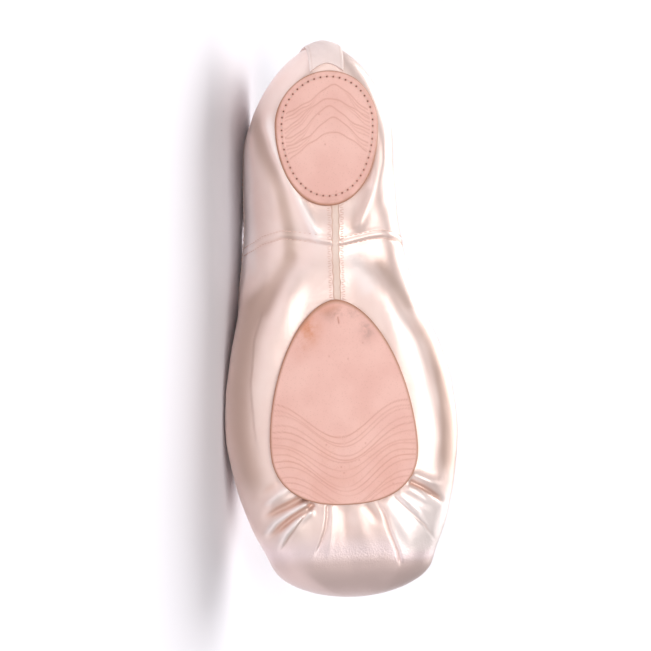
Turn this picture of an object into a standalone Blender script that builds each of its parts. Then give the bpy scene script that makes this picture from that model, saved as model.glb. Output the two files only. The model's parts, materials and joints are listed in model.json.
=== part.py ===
"""A split-sole pointe shoe, empty and lying on its side. Metres, +Z up, toe towards +X, sole facing -Y.

Every piece is first worked out in the shoe's own frame: x runs from heel to toe, z up from the sole plane,
and y to the shoe's left. The parent empty then lays the shoe down on the side that its weight has pressed flat.
"""

import math
from dataclasses import dataclass
from typing import NamedTuple

import bmesh
import bpy
import numpy as np
from mathutils import Matrix, Vector

# Lengths and widths over the outside
LENGTH = 0.245
BALL_WIDTH = 0.1016
WAIST_WIDTH = 0.070
HEEL_WIDTH = 0.064
PLATFORM_WIDTH = 0.061

# Heights above the sole plane
HEEL_HEIGHT = 0.051
TOPLINE_LOW = 0.036
THROAT_HEIGHT = 0.054
PLATFORM_TOP = 0.037
SIDE_HEIGHT = 0.016
ARCH_LIFT = 0.0028
TOE_SPRING = 0.0050

# Places along the shoe, from the back of the heel
HEEL_CAP = 0.047
TOPLINE_LOW_AT = 0.100
THROAT_AT = 0.163
TOE_CAP = 0.014

# The back of the heel
HEEL_UNDERCUT = 0.013
HEEL_LEAN = 0.0045

# The set that wear has left: the quarters lean to the left, and both ends of the sole bend to the right
QUARTER_LEAN = 0.0070
LEAN_FADES_FROM = 0.42
LEAN_FADES_OVER = 0.20
TOE_BEND = 0.0028
TOE_BEND_FROM = 0.62
HEEL_BEND = 0.0030
HEEL_BEND_TO = 0.30

# How it lies: the floor's tilt from the shoe's left side, its turn, and how far it has pressed that side flat
REST_TILT = math.radians(17.0)
REST_TURN = math.radians(-3.0)
FLOOR_PRESS = 0.0010

# Walls
QUARTER_WALL = 0.0014
BOX_WALL = 0.0028
BOX_WALL_FROM = 0.39
BOX_WALL_OVER = 0.07
OUTSOLE_THICKNESS = 0.0022
INSOLE_THICKNESS = 0.0018
CLEARANCE = 0.0003

# Outsole patches
HEEL_PATCH_START = 0.015
HEEL_PATCH_LENGTH = 0.059
HEEL_PATCH_WIDTH = 0.0450
FOREFOOT_PATCH_START = 0.115
FOREFOOT_PATCH_LENGTH = 0.089
FOREFOOT_PATCH_WIDTH = 0.0640
HEEL_PATCH_WIDEST = 0.40
FOREFOOT_PATCH_WIDEST = 0.71
PATCH_FLAT_SHARE = 0.84
PATCH_SHOULDER_SHARE = 0.93
HEEL_OPENING_SHARE = 0.78
FOREFOOT_OPENING_SHARE = 0.75
PLUG_CLEARANCE = 0.0008
INSOLE_END = 0.205
INSOLE_TOE_ROUND = 0.10
INSOLE_HEEL_ROUND = 0.06
INSOLE_SIDE_CLEARANCE = 0.0010
INSOLE_LIFT = 0.0005

# Binding and back strip
BINDING_HEIGHT = 0.0070
BINDING_CLOTH = 0.0007
BINDING_OUTLET = 0.0030
BINDING_CORNER = 0.6
BINDING_PRESSED_TO = 0.50
BINDING_PRESS_FADES = 0.07
STRIP_WIDTH = 0.0145
STRIP_THICKNESS = 0.0008
STRIP_STARTS = math.radians(84.0)

# Roundness of the forms, as powers of a superellipse
HEEL_POWER = 1.65
TOE_POWER = 2.0
LOWER_POWER = 2.0
UPPER_POWER = 2.3
THROAT_RISE = 1.3
THROAT_POWER = 0.57

# How finely the curves are cut
FLAT_COUNT = 2
CORNER_COUNT = 4
SIDE_COUNT = 8
OUTLINE_COUNT = 44
BINDING_COUNT = 64
SAMPLE_COUNT = 60
STRIP_COUNT = 6
INSOLE_HEEL_COUNT = 7
INSOLE_MIDDLE_COUNT = 16
INSOLE_TOE_COUNT = 10
SAME_PLACE = 2e-6
HALF_GIRTH_COUNT = FLAT_COUNT + CORNER_COUNT + SIDE_COUNT

BED = OUTSOLE_THICKNESS + CLEARANCE


class Section(NamedTuple):
    """One cross-section of the closed last."""

    along: float
    half_width: float
    flat: float
    keel: float
    widest: float
    crown: float


# along is a share of the length, and flat the share of the half width that is flat underneath
SECTIONS = (
    Section(0.192, 0.50 * HEEL_WIDTH, 0.62, BED, 1.15 * SIDE_HEIGHT, 1.62 * HEEL_HEIGHT),
    Section(0.310, 0.51 * HEEL_WIDTH, 0.56, BED, 1.22 * SIDE_HEIGHT, 1.56 * HEEL_HEIGHT),
    Section(0.390, 0.50 * WAIST_WIDTH, 0.50, BED + ARCH_LIFT, 1.25 * SIDE_HEIGHT, 1.46 * HEEL_HEIGHT),
    Section(0.470, 0.56 * WAIST_WIDTH, 0.50, BED, 1.15 * SIDE_HEIGHT, 1.36 * HEEL_HEIGHT),
    Section(0.560, 0.456 * BALL_WIDTH, 0.50, BED, 1.02 * SIDE_HEIGHT, 1.14 * THROAT_HEIGHT),
    Section(0.630, 0.490 * BALL_WIDTH, 0.50, BED, 0.96 * SIDE_HEIGHT, 1.04 * THROAT_HEIGHT),
    Section(0.700, 0.500 * BALL_WIDTH, 0.50, BED, 0.94 * SIDE_HEIGHT, 0.98 * THROAT_HEIGHT),
    Section(0.780, 0.476 * BALL_WIDTH, 0.52, BED, 0.96 * SIDE_HEIGHT, 0.90 * THROAT_HEIGHT),
    Section(0.865, 0.424 * BALL_WIDTH, 0.52, BED + 0.22 * TOE_SPRING, 1.06 * SIDE_HEIGHT, 1.16 * PLATFORM_TOP),
    Section(0.943, 0.57 * PLATFORM_WIDTH, 0.50, BED + 0.80 * TOE_SPRING, 1.18 * SIDE_HEIGHT, 1.02 * PLATFORM_TOP),
    Section(1.000, 0.50 * PLATFORM_WIDTH, 0.48, BED + 1.10 * TOE_SPRING, 1.24 * SIDE_HEIGHT, 0.96 * PLATFORM_TOP),
)


def shares(count):
    """Shares from 0 to 1 that crowd towards both ends, where the forms turn fastest."""
    return [0.5 - 0.5 * math.cos(math.pi * step / count) for step in range(count + 1)]


def cap(share, power):
    """Height of a superellipse's quarter at a share of its run, 1 at the start and 0 at the end."""
    return max(0.0, 1.0 - min(1.0, abs(share)) ** power) ** (1.0 / power)


def ease(share):
    """A smooth step from 0 to 1."""
    share = min(1.0, max(0.0, share))
    return share * share * (3.0 - 2.0 * share)


def monotone(xs, ys, x):
    """A smooth curve through the points that never swings past them."""
    if x <= xs[0]:
        return ys[0]
    if x >= xs[-1]:
        return ys[-1]
    slopes = [(ys[k + 1] - ys[k]) / (xs[k + 1] - xs[k]) for k in range(len(xs) - 1)]
    tangents = [slopes[0]]
    for before, after in zip(slopes, slopes[1:]):
        level = before * after <= 0.0
        tangents.append(0.0 if level else 2.0 * before * after / (before + after))
    tangents.append(slopes[-1])
    k = max(i for i in range(len(xs) - 1) if xs[i] <= x)
    run = xs[k + 1] - xs[k]
    t = (x - xs[k]) / run
    start = ys[k] * (1 + 2 * t) * (1 - t) ** 2 + tangents[k] * run * t * (1 - t) ** 2
    end = ys[k + 1] * t * t * (3 - 2 * t) + tangents[k + 1] * run * t * t * (t - 1)
    return start + end


@dataclass(frozen=True)
class Egg:
    """The outline of an outsole patch, or of the opening under it."""

    start: float
    widest_at: float
    end: float
    half_width: float
    back_power: float
    front_power: float

    def half_width_at(self, x):
        """Half the outline's width at a place along the shoe, 0 outside it."""
        if x <= self.start or x >= self.end:
            return 0.0
        if x < self.widest_at:
            return self.half_width * cap((self.widest_at - x) / (self.widest_at - self.start), self.back_power)
        return self.half_width * cap((x - self.widest_at) / (self.end - self.widest_at), self.front_power)

    def point(self, turn, scale):
        """A point of the outline at a share of a turn from its toe end, drawn in towards the widest place."""
        angle = 2.0 * math.pi * turn
        forward = math.cos(angle)
        sideways = math.sin(angle)
        power = self.front_power if forward > 0.0 else self.back_power
        reach = self.end - self.widest_at if forward > 0.0 else self.widest_at - self.start
        x = self.widest_at + scale * reach * math.copysign(abs(forward) ** (2.0 / power), forward)
        y = scale * self.half_width * math.copysign(abs(sideways) ** (2.0 / power), sideways)
        return x, y

    def drawn_in(self, scale):
        """The same outline at a smaller scale about its widest place."""
        return Egg(
            self.widest_at - scale * (self.widest_at - self.start),
            self.widest_at,
            self.widest_at + scale * (self.end - self.widest_at),
            scale * self.half_width,
            self.back_power,
            self.front_power,
        )

    def inset(self, distance):
        """The same outline with each of its reaches made shorter by a distance."""
        return Egg(
            self.start + distance,
            self.widest_at,
            self.end - distance,
            self.half_width - distance,
            self.back_power,
            self.front_power,
        )


HEEL_PATCH = Egg(
    HEEL_PATCH_START,
    HEEL_PATCH_START + HEEL_PATCH_WIDEST * HEEL_PATCH_LENGTH,
    HEEL_PATCH_START + HEEL_PATCH_LENGTH,
    HEEL_PATCH_WIDTH / 2,
    2.0,
    2.1,
)
FOREFOOT_PATCH = Egg(
    FOREFOOT_PATCH_START,
    FOREFOOT_PATCH_START + FOREFOOT_PATCH_WIDEST * FOREFOOT_PATCH_LENGTH,
    FOREFOOT_PATCH_START + FOREFOOT_PATCH_LENGTH,
    FOREFOOT_PATCH_WIDTH / 2,
    1.8,
    2.4,
)
HEEL_OPENING = HEEL_PATCH.drawn_in(HEEL_OPENING_SHARE)
FOREFOOT_OPENING = FOREFOOT_PATCH.drawn_in(FOREFOOT_OPENING_SHARE)


class Last:
    """The closed form over which the shoe is made, with the lines at which the upper is cut open."""

    def __init__(self):
        self.stations = [row.along * LENGTH for row in SECTIONS]
        self.toe_start = LENGTH - TOE_CAP
        self.heel_side = SECTIONS[0].widest
        self.low_angle = self.angle_at_height(TOPLINE_LOW_AT, TOPLINE_LOW)

    def value(self, name, x):
        """A column of the table of sections at a place along the shoe."""
        return monotone(self.stations, [getattr(row, name) for row in SECTIONS], x)

    def half_width(self, x):
        """Half the width, drawn together at the heel."""
        if x >= HEEL_CAP:
            return self.value("half_width", x)
        return self.value("half_width", HEEL_CAP) * cap((HEEL_CAP - x) / HEEL_CAP, HEEL_POWER)

    def back(self, z):
        """How far the heel's back lies from the rearmost point at a height."""
        keel = SECTIONS[0].keel
        if z < self.heel_side:
            return HEEL_UNDERCUT * (1.0 - cap((self.heel_side - z) / (self.heel_side - keel), 2.0))
        return HEEL_LEAN * ((z - self.heel_side) / (HEEL_HEIGHT - self.heel_side)) ** 2

    def placed(self, x, y, z):
        """A section's point moved to its place: curved in at the heel, and drawn together at the toe."""
        if x < HEEL_CAP:
            return Vector((x + self.back(z) * (1.0 - x / HEEL_CAP), y, z))
        if x > self.toe_start:
            scale = cap((x - self.toe_start) / TOE_CAP, TOE_POWER)
            middle = 0.5 * (SECTIONS[-1].keel + SECTIONS[-1].crown)
            return Vector((x, y * scale, middle + (z - middle) * scale))
        return Vector((x, y, z))

    def station(self, x, z):
        """The station whose section passes through a point at this place and height: placed, undone."""
        if x >= HEEL_CAP:
            return x
        back = self.back(z)
        return max(0.0, (x - back) / (1.0 - back / HEEL_CAP))

    def width_at_height(self, x, z):
        """Half the width of a station's section at a height."""
        half_width = self.half_width(x)
        flat = self.value("flat", x) * half_width
        widest = self.value("widest", x)
        if z < widest:
            drop = (widest - z) / (widest - self.value("keel", x))
            return flat + (half_width - flat) * cap(drop, LOWER_POWER)
        return half_width * cap((z - widest) / (self.value("crown", x) - widest), UPPER_POWER)

    def underside(self, x, y):
        """Height of the closed form's underside at a point."""
        z = self.value("keel", x)
        for _ in range(6):
            station = self.station(x, z)
            half_width = self.half_width(station)
            flat = self.value("flat", station) * half_width
            run = half_width - flat
            out = min(1.0, max(0.0, abs(y) - flat) / run) if run > 0.0 else 0.0
            widest = self.value("widest", station)
            z = widest - (widest - self.value("keel", station)) * cap(out, LOWER_POWER)
        return z

    def angle_at_height(self, x, z):
        """The turn about the section's widest point, from 0 at the side to a quarter turn at the crown."""
        widest = self.value("widest", x)
        rise = (z - widest) / (self.value("crown", x) - widest)
        return math.asin(min(1.0, rise ** (UPPER_POWER / 2.0)))

    def collar_angle(self, x):
        """Where the upper's side ends: at the topline, and from the throat on at the crown."""
        if x >= THROAT_AT:
            return math.pi / 2
        if x <= TOPLINE_LOW_AT:
            height = TOPLINE_LOW + (HEEL_HEIGHT - TOPLINE_LOW) * (1.0 - ease(x / TOPLINE_LOW_AT))
            return self.angle_at_height(x, height)
        share = (x - TOPLINE_LOW_AT) / (THROAT_AT - TOPLINE_LOW_AT)
        left = (1.0 - share**THROAT_RISE) ** THROAT_POWER
        return math.pi / 2 - (math.pi / 2 - self.low_angle) * left

    def opening(self, x):
        """Half the width of the opening underneath at a station, 0 where the upper is closed."""
        place = self.placed(x, 0.0, self.value("keel", x)).x
        return max(HEEL_OPENING.half_width_at(place), FOREFOOT_OPENING.half_width_at(place))

    def half_section(self, x):
        """Points up one side of a station, evenly spaced from the underside's middle or opening to the collar."""
        half_width = self.half_width(x)
        flat = self.value("flat", x) * half_width
        keel = self.value("keel", x)
        widest = self.value("widest", x)
        crown = self.value("crown", x)
        under = [(min(self.opening(x), flat), keel), (flat, keel)]
        corner = [under[-1]]
        for step in range(1, SAMPLE_COUNT + 1):
            angle = math.pi / 2 * step / SAMPLE_COUNT
            out = math.sin(angle) ** (2.0 / LOWER_POWER)
            down = math.cos(angle) ** (2.0 / LOWER_POWER) if step < SAMPLE_COUNT else 0.0
            corner.append((flat + (half_width - flat) * out, widest - (widest - keel) * down))
        side = [corner[-1]]
        collar = self.collar_angle(x)
        for step in range(1, SAMPLE_COUNT + 1):
            angle = collar * step / SAMPLE_COUNT
            closed = x >= THROAT_AT and step == SAMPLE_COUNT
            out = 0.0 if closed else math.cos(angle) ** (2.0 / UPPER_POWER)
            side.append((half_width * out, widest + (crown - widest) * math.sin(angle) ** (2.0 / UPPER_POWER)))
        parts = [evenly(under, FLAT_COUNT)[:-1], evenly(corner, CORNER_COUNT)[:-1], evenly(side, SIDE_COUNT)]
        rows = np.concatenate(parts)
        return [self.placed(x, y, z) for y, z in rows]

    def rings(self):
        """Stations along the shoe, closer together where an opening, the throat, the heel or the toe turns."""
        keel = SECTIONS[0].keel
        stops = (
            (0.0, 0),
            (self.station(HEEL_OPENING.start, keel), 6),
            (self.station(HEEL_OPENING.end, keel), 9),
            (FOREFOOT_OPENING.start, 7),
            (THROAT_AT, 9),
            (FOREFOOT_OPENING.end, 7),
            (self.toe_start, 5),
            (LENGTH, 6),
        )
        found = [0.0]
        for (start, _), (end, count) in zip(stops, stops[1:]):
            found.extend(start + (end - start) * share for share in shares(count)[1:])
        return found


def evenly(path, count):
    """The path resampled at equal lengths, with its ends kept."""
    path = np.array(path)
    steps = np.linalg.norm(np.diff(path, axis=0), axis=1)
    run = np.concatenate([[0.0], np.cumsum(steps)])
    wanted = np.linspace(0.0, run[-1], count + 1)
    return np.stack([np.interp(wanted, run, path[:, axis]) for axis in range(path.shape[1])], axis=1)


def wall(x):
    """The upper's thickness: cloth and lining in the quarters, stiffened in the box."""
    return QUARTER_WALL + (BOX_WALL - QUARTER_WALL) * ease((x / LENGTH - BOX_WALL_FROM) / BOX_WALL_OVER)


def worn(place):
    """Where a point of the straight new shoe lies in the worn one."""
    along = place.x / LENGTH
    quarter = 1.0 - ease((along - LEAN_FADES_FROM) / LEAN_FADES_OVER)
    lean = QUARTER_LEAN * quarter * place.z / HEEL_HEIGHT
    toe = TOE_BEND * max(0.0, (along - TOE_BEND_FROM) / (1.0 - TOE_BEND_FROM)) ** 2
    heel = HEEL_BEND * max(0.0, (HEEL_BEND_TO - along) / HEEL_BEND_TO) ** 2
    return Vector((place.x, place.y + lean - toe - heel, place.z))


def floor_direction():
    """The way that the floor faces away from the shoe that lies on it, in the shoe's own frame."""
    level = math.cos(REST_TURN)
    return Vector((math.sin(REST_TURN), level * math.cos(REST_TILT), level * math.sin(REST_TILT)))


@dataclass(frozen=True)
class Floor:
    """The plane that the shoe lies on: the way it faces from the shoe, and how far out it is that way."""

    down: Vector
    reach: float

    def pressed(self, place, cloth=0.0):
        """A place moved sideways to the floor if it lies beyond it, with room for cloth that covers it."""
        depth = self.down.dot(place) + cloth - self.reach
        return place - Vector((0.0, max(0.0, depth) / self.down.y, 0.0)) if place.y > 0.0 else place


def cloth_over(x):
    """How thick the binding's cloth lies over the skin at a place along the shoe."""
    return BINDING_CLOTH * (1.0 - ease((x / LENGTH - BINDING_PRESSED_TO) / BINDING_PRESS_FADES))


def floor_under(places):
    """The floor that presses the worn skin's left side flat, from the skin's places."""
    down = floor_direction()
    return Floor(down, max(down.dot(place) + cloth_over(place.x) for place in places) - FLOOR_PRESS)


def material(name, colour, roughness):
    """A Principled material in a plain colour."""
    made = bpy.data.materials.new(name)
    made.use_nodes = True
    shader = made.node_tree.nodes["Principled BSDF"]
    shader.inputs["Base Color"].default_value = (*colour, 1.0)
    shader.inputs["Roughness"].default_value = roughness
    shader.inputs["Metallic"].default_value = 0.0
    return made


def set_by_wear(bm):
    """Moves a piece's vertices to their places in the worn shoe."""
    for vert in bm.verts:
        vert.co = worn(vert.co)


def add_piece(name, bm, made, parent):
    """Closes off a mesh as one named object under the shoe's empty."""
    bmesh.ops.recalc_face_normals(bm, faces=bm.faces)
    mesh = bpy.data.meshes.new(name)
    bm.to_mesh(mesh)
    bm.free()
    mesh.shade_smooth()
    mesh.set_sharp_from_angle(angle=math.radians(40.0))
    mesh.materials.append(made)
    piece = bpy.data.objects.new(name, mesh)
    bpy.context.scene.collection.objects.link(piece)
    piece.parent = parent
    return piece


def outer_skin(last):
    """The worn upper's outer surface, its collar edge's vertices from the throat round to it, and the floor."""
    bm = bmesh.new()
    shared = {}
    found = {}
    rings = [last.half_section(x) for x in last.rings()]
    toe = len(rings) - 1

    def corner(ring, row, side):
        place = rings[ring][row]
        at = (place.x, side * place.y, place.z)
        key = tuple(round(value / SAME_PLACE) for value in at)
        if key not in shared:
            shared[key] = bm.verts.new(at)
        found[(ring, row, side)] = shared[key]
        return shared[key]

    for side in (1, -1):
        for ring in range(toe):
            for row in range(HALF_GIRTH_COUNT):
                corners = [
                    corner(ring, row, side),
                    corner(ring + 1, row, side),
                    corner(ring + 1, row + 1, side),
                    corner(ring, row + 1, side),
                ]
                face = list(dict.fromkeys(corners))
                if len(face) > 2:
                    bm.faces.new(face[::-1] if side > 0 else face)
    set_by_wear(bm)
    floor = floor_under([vert.co for vert in bm.verts])
    for vert in bm.verts:
        vert.co = floor.pressed(vert.co, cloth_over(vert.co.x))
    bm.normal_update()
    last_open = max(k for k, x in enumerate(last.rings()) if x <= THROAT_AT)
    left = [found[(ring, HALF_GIRTH_COUNT, 1)] for ring in range(last_open, -1, -1)]
    right = [found[(ring, HALF_GIRTH_COUNT, -1)] for ring in range(1, last_open + 1)]
    return bm, left + right, floor


def thicken(bm, thickness):
    """Makes an open surface a closed shell, with its inner face a given thickness along the normals inside."""
    inner = {vert: vert.co - vert.normal * thickness(vert.co.x) for vert in bm.verts}
    rim = [(edge.verts[0], edge.verts[1]) for edge in bm.edges if edge.is_boundary]
    faces = [list(face.verts) for face in bm.faces]
    made = {vert: bm.verts.new(place) for vert, place in inner.items()}
    for corners in faces:
        bm.faces.new([made[vert] for vert in reversed(corners)])
    for start, end in rim:
        bm.faces.new((start, end, made[end], made[start]))


def add_upper(last, satin, parent):
    """The upper, one hollow shell."""
    bm, _, _ = outer_skin(last)
    thicken(bm, wall)
    return add_piece("upper", bm, satin, parent)


def bridge(bm, first, second):
    """A band of faces between two rings of as many vertices."""
    for k, vert in enumerate(first):
        following = (k + 1) % len(first)
        bm.faces.new((vert, first[following], second[following], second[k]))


def add_outsole(name, last, egg, opening, leather, parent):
    """A leather patch that is flat where it is walked on, with a core that fills the opening above it."""
    bm = bmesh.new()
    turns = [step / OUTLINE_COUNT for step in range(OUTLINE_COUNT)]
    flat, shoulder, edge = PATCH_FLAT_SHARE, PATCH_SHOULDER_SHARE, 1.0
    core = opening.inset(PLUG_CLEARANCE)
    core_top = BED + wall(opening.widest_at)

    def ring(scale, top):
        corners = [egg.point(turn, scale) for turn in turns]
        heights = [last.underside(x, y) - CLEARANCE - (0.0 if top else OUTSOLE_THICKNESS) for x, y in corners]
        return [bm.verts.new((x, y, z)) for (x, y), z in zip(corners, heights)]

    def level(outline, scale, z):
        return [bm.verts.new((*outline.point(turn, scale), z)) for turn in turns]

    stack = [
        level(egg, flat, 0.0),
        ring(shoulder, False),
        ring(edge, False),
        ring(edge, True),
        ring(shoulder, True),
        level(egg, flat, OUTSOLE_THICKNESS),
        level(core, 1.0, OUTSOLE_THICKNESS),
        level(core, 1.0, core_top),
    ]
    bm.faces.new(stack[0])
    for lower, upper in zip(stack, stack[1:]):
        bridge(bm, lower, upper)
    bm.faces.new(stack[-1])
    set_by_wear(bm)
    return add_piece(name, bm, leather, parent)


def add_insole(last, cloth, parent):
    """The sock inside, from the heel's curve to a round end in the box."""
    bm = bmesh.new()
    keel = SECTIONS[0].keel
    round_from = INSOLE_END - INSOLE_TOE_ROUND * LENGTH
    back_end = HEEL_CAP * INSOLE_HEEL_ROUND
    straight = round_from - HEEL_CAP
    toe_shares = shares(INSOLE_TOE_COUNT)[INSOLE_TOE_COUNT // 2 + 1:INSOLE_TOE_COUNT]
    stops = [back_end + (HEEL_CAP - back_end) * share for share in shares(INSOLE_HEEL_COUNT)]
    stops += [HEEL_CAP + straight * (step + 1) / INSOLE_MIDDLE_COUNT for step in range(INSOLE_MIDDLE_COUNT)]
    stops += [round_from + (INSOLE_END - round_from) * share for share in toe_shares]
    rows = []
    for station in stops:
        x = last.placed(station, 0.0, keel).x
        half_width = last.value("flat", station) * last.half_width(station) - INSOLE_SIDE_CLEARANCE
        if station > round_from:
            half_width *= cap((station - round_from) / (INSOLE_END - round_from), 2.0)
        bottom = last.value("keel", station) + wall(x) + INSOLE_LIFT
        across = [half_width * share for share in (-1.0, -0.5, 0.0, 0.5, 1.0)]
        low = [bm.verts.new((x, y, bottom)) for y in across]
        high = [bm.verts.new((x, y, bottom + INSOLE_THICKNESS)) for y in reversed(across)]
        rows.append(low + high)
    bm.faces.new(rows[0])
    for first, second in zip(rows, rows[1:]):
        bridge(bm, first, second)
    bm.faces.new(rows[-1])
    set_by_wear(bm)
    return add_piece("insole", bm, cloth, parent)


def add_binding(last, tape, parent):
    """The drawstring's casing: a flat tube that stands on the collar's edge, its ends just apart at the throat."""
    skin, edge, floor = outer_skin(last)
    path = np.array([[*vert.co, *vert.normal] for vert in edge])
    skin.free()
    run = np.concatenate([[0.0], np.cumsum(np.linalg.norm(np.diff(path[:, :3], axis=0), axis=1))])
    wanted = np.linspace(BINDING_OUTLET / 2, run[-1] - BINDING_OUTLET / 2, BINDING_COUNT + 1)
    samples = np.stack([np.interp(wanted, run, path[:, axis]) for axis in range(6)], axis=1)
    places = [Vector(row[:3]) for row in samples]
    normals = [Vector(row[3:]).normalized() for row in samples]
    bm = bmesh.new()
    rows = []
    for k, (place, normal) in enumerate(zip(places, normals)):
        along = places[min(k + 1, BINDING_COUNT)] - places[max(k - 1, 0)]
        rise = normal.cross(along).normalized()
        thick = wall(place.x)
        out = thick / 2 + BINDING_CLOTH
        centre = place - normal * thick / 2
        corner = min(out, BINDING_HEIGHT / 2) * BINDING_CORNER
        profile = (
            (out, CLEARANCE),
            (out, CLEARANCE + BINDING_HEIGHT - corner),
            (out - corner, CLEARANCE + BINDING_HEIGHT),
            (corner - out, CLEARANCE + BINDING_HEIGHT),
            (-out, CLEARANCE + BINDING_HEIGHT - corner),
            (-out, CLEARANCE),
        )
        rows.append([bm.verts.new(floor.pressed(centre + normal * side + rise * up)) for side, up in profile])
    bm.faces.new(rows[0])
    for first, second in zip(rows, rows[1:]):
        bridge(bm, first, second)
    bm.faces.new(rows[-1])
    return add_piece("collar_binding", bm, tape, parent)


def back_station(last, y, z):
    """The station whose section is as wide as a given place on the heel's back at a height."""
    near, far = 0.0, HEEL_CAP
    for _ in range(50):
        middle = 0.5 * (near + far)
        if last.width_at_height(middle, z) < abs(y):
            near = middle
        else:
            far = middle
    return 0.5 * (near + far)


def add_back_strip(last, tape, parent):
    """The tape over the heel's back seam, from the heel patch up to the binding."""
    keel = SECTIONS[0].keel
    side = last.heel_side
    turns = [STRIP_STARTS * (1.0 - step / STRIP_COUNT) for step in range(STRIP_COUNT)]
    heights = [side - (side - keel) * math.sin(turn) for turn in turns]
    top = HEEL_HEIGHT - CLEARANCE
    heights += [side + (top - side) * step / STRIP_COUNT for step in range(STRIP_COUNT + 1)]
    across = [STRIP_WIDTH * (step / STRIP_COUNT - 0.5) for step in range(STRIP_COUNT + 1)]
    bm = bmesh.new()
    grid = [
        [bm.verts.new(last.placed(back_station(last, y, z), y, z)) for y in across]
        for z in heights
    ]
    for lower, upper in zip(grid, grid[1:]):
        for k in range(len(across) - 1):
            bm.faces.new((lower[k], upper[k], upper[k + 1], lower[k + 1]))
    bm.normal_update()
    for vert in bm.verts:
        vert.co += vert.normal * (CLEARANCE + STRIP_THICKNESS)
    thicken(bm, lambda _: STRIP_THICKNESS)
    set_by_wear(bm)
    return add_piece("back_strip", bm, tape, parent)


def lay_down(shoe, pieces):
    """Turns the empty so that the pressed side is down and the toe points along +X, and sets it on the floor."""
    down = floor_direction()
    toe = (Vector((1.0, 0.0, 0.0)) - down * down.x).normalized()
    turn = Matrix((toe, (-down).cross(toe), -down))
    places = [turn @ vert.co for piece in pieces for vert in piece.data.vertices]
    low = Vector([min(place[axis] for place in places) for axis in range(3)])
    high = Vector([max(place[axis] for place in places) for axis in range(3)])
    shoe.rotation_euler = turn.to_euler()
    shoe.location = (-(low.x + high.x) / 2, -(low.y + high.y) / 2, -low.z)


def main():
    """Clears the scene and builds the shoe."""
    for old in list(bpy.data.objects):
        bpy.data.objects.remove(old)
    shoe = bpy.data.objects.new("shoe", None)
    bpy.context.scene.collection.objects.link(shoe)
    satin = material("satin", (0.83, 0.66, 0.59), 0.45)
    leather = material("leather", (0.79, 0.48, 0.39), 0.75)
    sock = material("sock", (0.86, 0.80, 0.72), 0.85)
    tape = material("tape", (0.85, 0.70, 0.64), 0.60)
    last = Last()
    pieces = [
        add_upper(last, satin, shoe),
        add_outsole("outsole_forefoot", last, FOREFOOT_PATCH, FOREFOOT_OPENING, leather, shoe),
        add_outsole("outsole_heel", last, HEEL_PATCH, HEEL_OPENING, leather, shoe),
        add_insole(last, sock, shoe),
        add_binding(last, tape, shoe),
        add_back_strip(last, tape, shoe),
    ]
    lay_down(shoe, pieces)


if __name__ == "__main__":
    main()
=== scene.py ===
"""The looks of a split-sole pointe shoe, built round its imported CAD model. Metres, +Z up, toe towards +X.

Every piece is worked out in the shoe's own frame, where x runs from heel to toe, y to the shoe's left and
z up from the sole plane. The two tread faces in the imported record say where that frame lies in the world.
"""

import logging
import math
from abc import ABC, abstractmethod
from dataclasses import dataclass
from enum import Enum
from typing import NamedTuple, Sequence

import bpy
import numpy as np
from mathutils import Matrix, Vector
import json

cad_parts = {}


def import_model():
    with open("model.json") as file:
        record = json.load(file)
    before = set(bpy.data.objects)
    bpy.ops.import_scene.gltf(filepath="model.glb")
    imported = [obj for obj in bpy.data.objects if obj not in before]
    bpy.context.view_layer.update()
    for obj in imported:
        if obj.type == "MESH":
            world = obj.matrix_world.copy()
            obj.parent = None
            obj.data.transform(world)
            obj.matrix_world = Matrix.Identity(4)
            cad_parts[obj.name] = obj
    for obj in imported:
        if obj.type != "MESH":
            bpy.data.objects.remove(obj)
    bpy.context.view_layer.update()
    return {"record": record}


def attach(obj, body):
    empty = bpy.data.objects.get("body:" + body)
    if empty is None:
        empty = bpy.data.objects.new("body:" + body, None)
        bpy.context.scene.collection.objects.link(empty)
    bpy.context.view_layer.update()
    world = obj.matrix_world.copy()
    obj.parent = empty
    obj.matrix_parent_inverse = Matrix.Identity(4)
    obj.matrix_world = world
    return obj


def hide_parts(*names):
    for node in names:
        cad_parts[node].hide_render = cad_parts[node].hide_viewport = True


LOG = logging.getLogger("pointe_shoe")
MM = 0.001
RIGHT_ANGLE = math.pi / 2
MIRROR = np.array([1.0, -1.0, 1.0])
Array = np.ndarray
Colour = tuple[float, float, float]


class Slot(Enum):
    """The record's material slots."""

    SATIN = "satin"
    LEATHER = "leather"
    SOCK = "sock"
    TAPE = "tape"


class Fold(Enum):
    """The profiles that a crease in the satin can have."""

    TROUGH = "trough"
    RIDGE = "ridge"
    STEP = "step"


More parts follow.
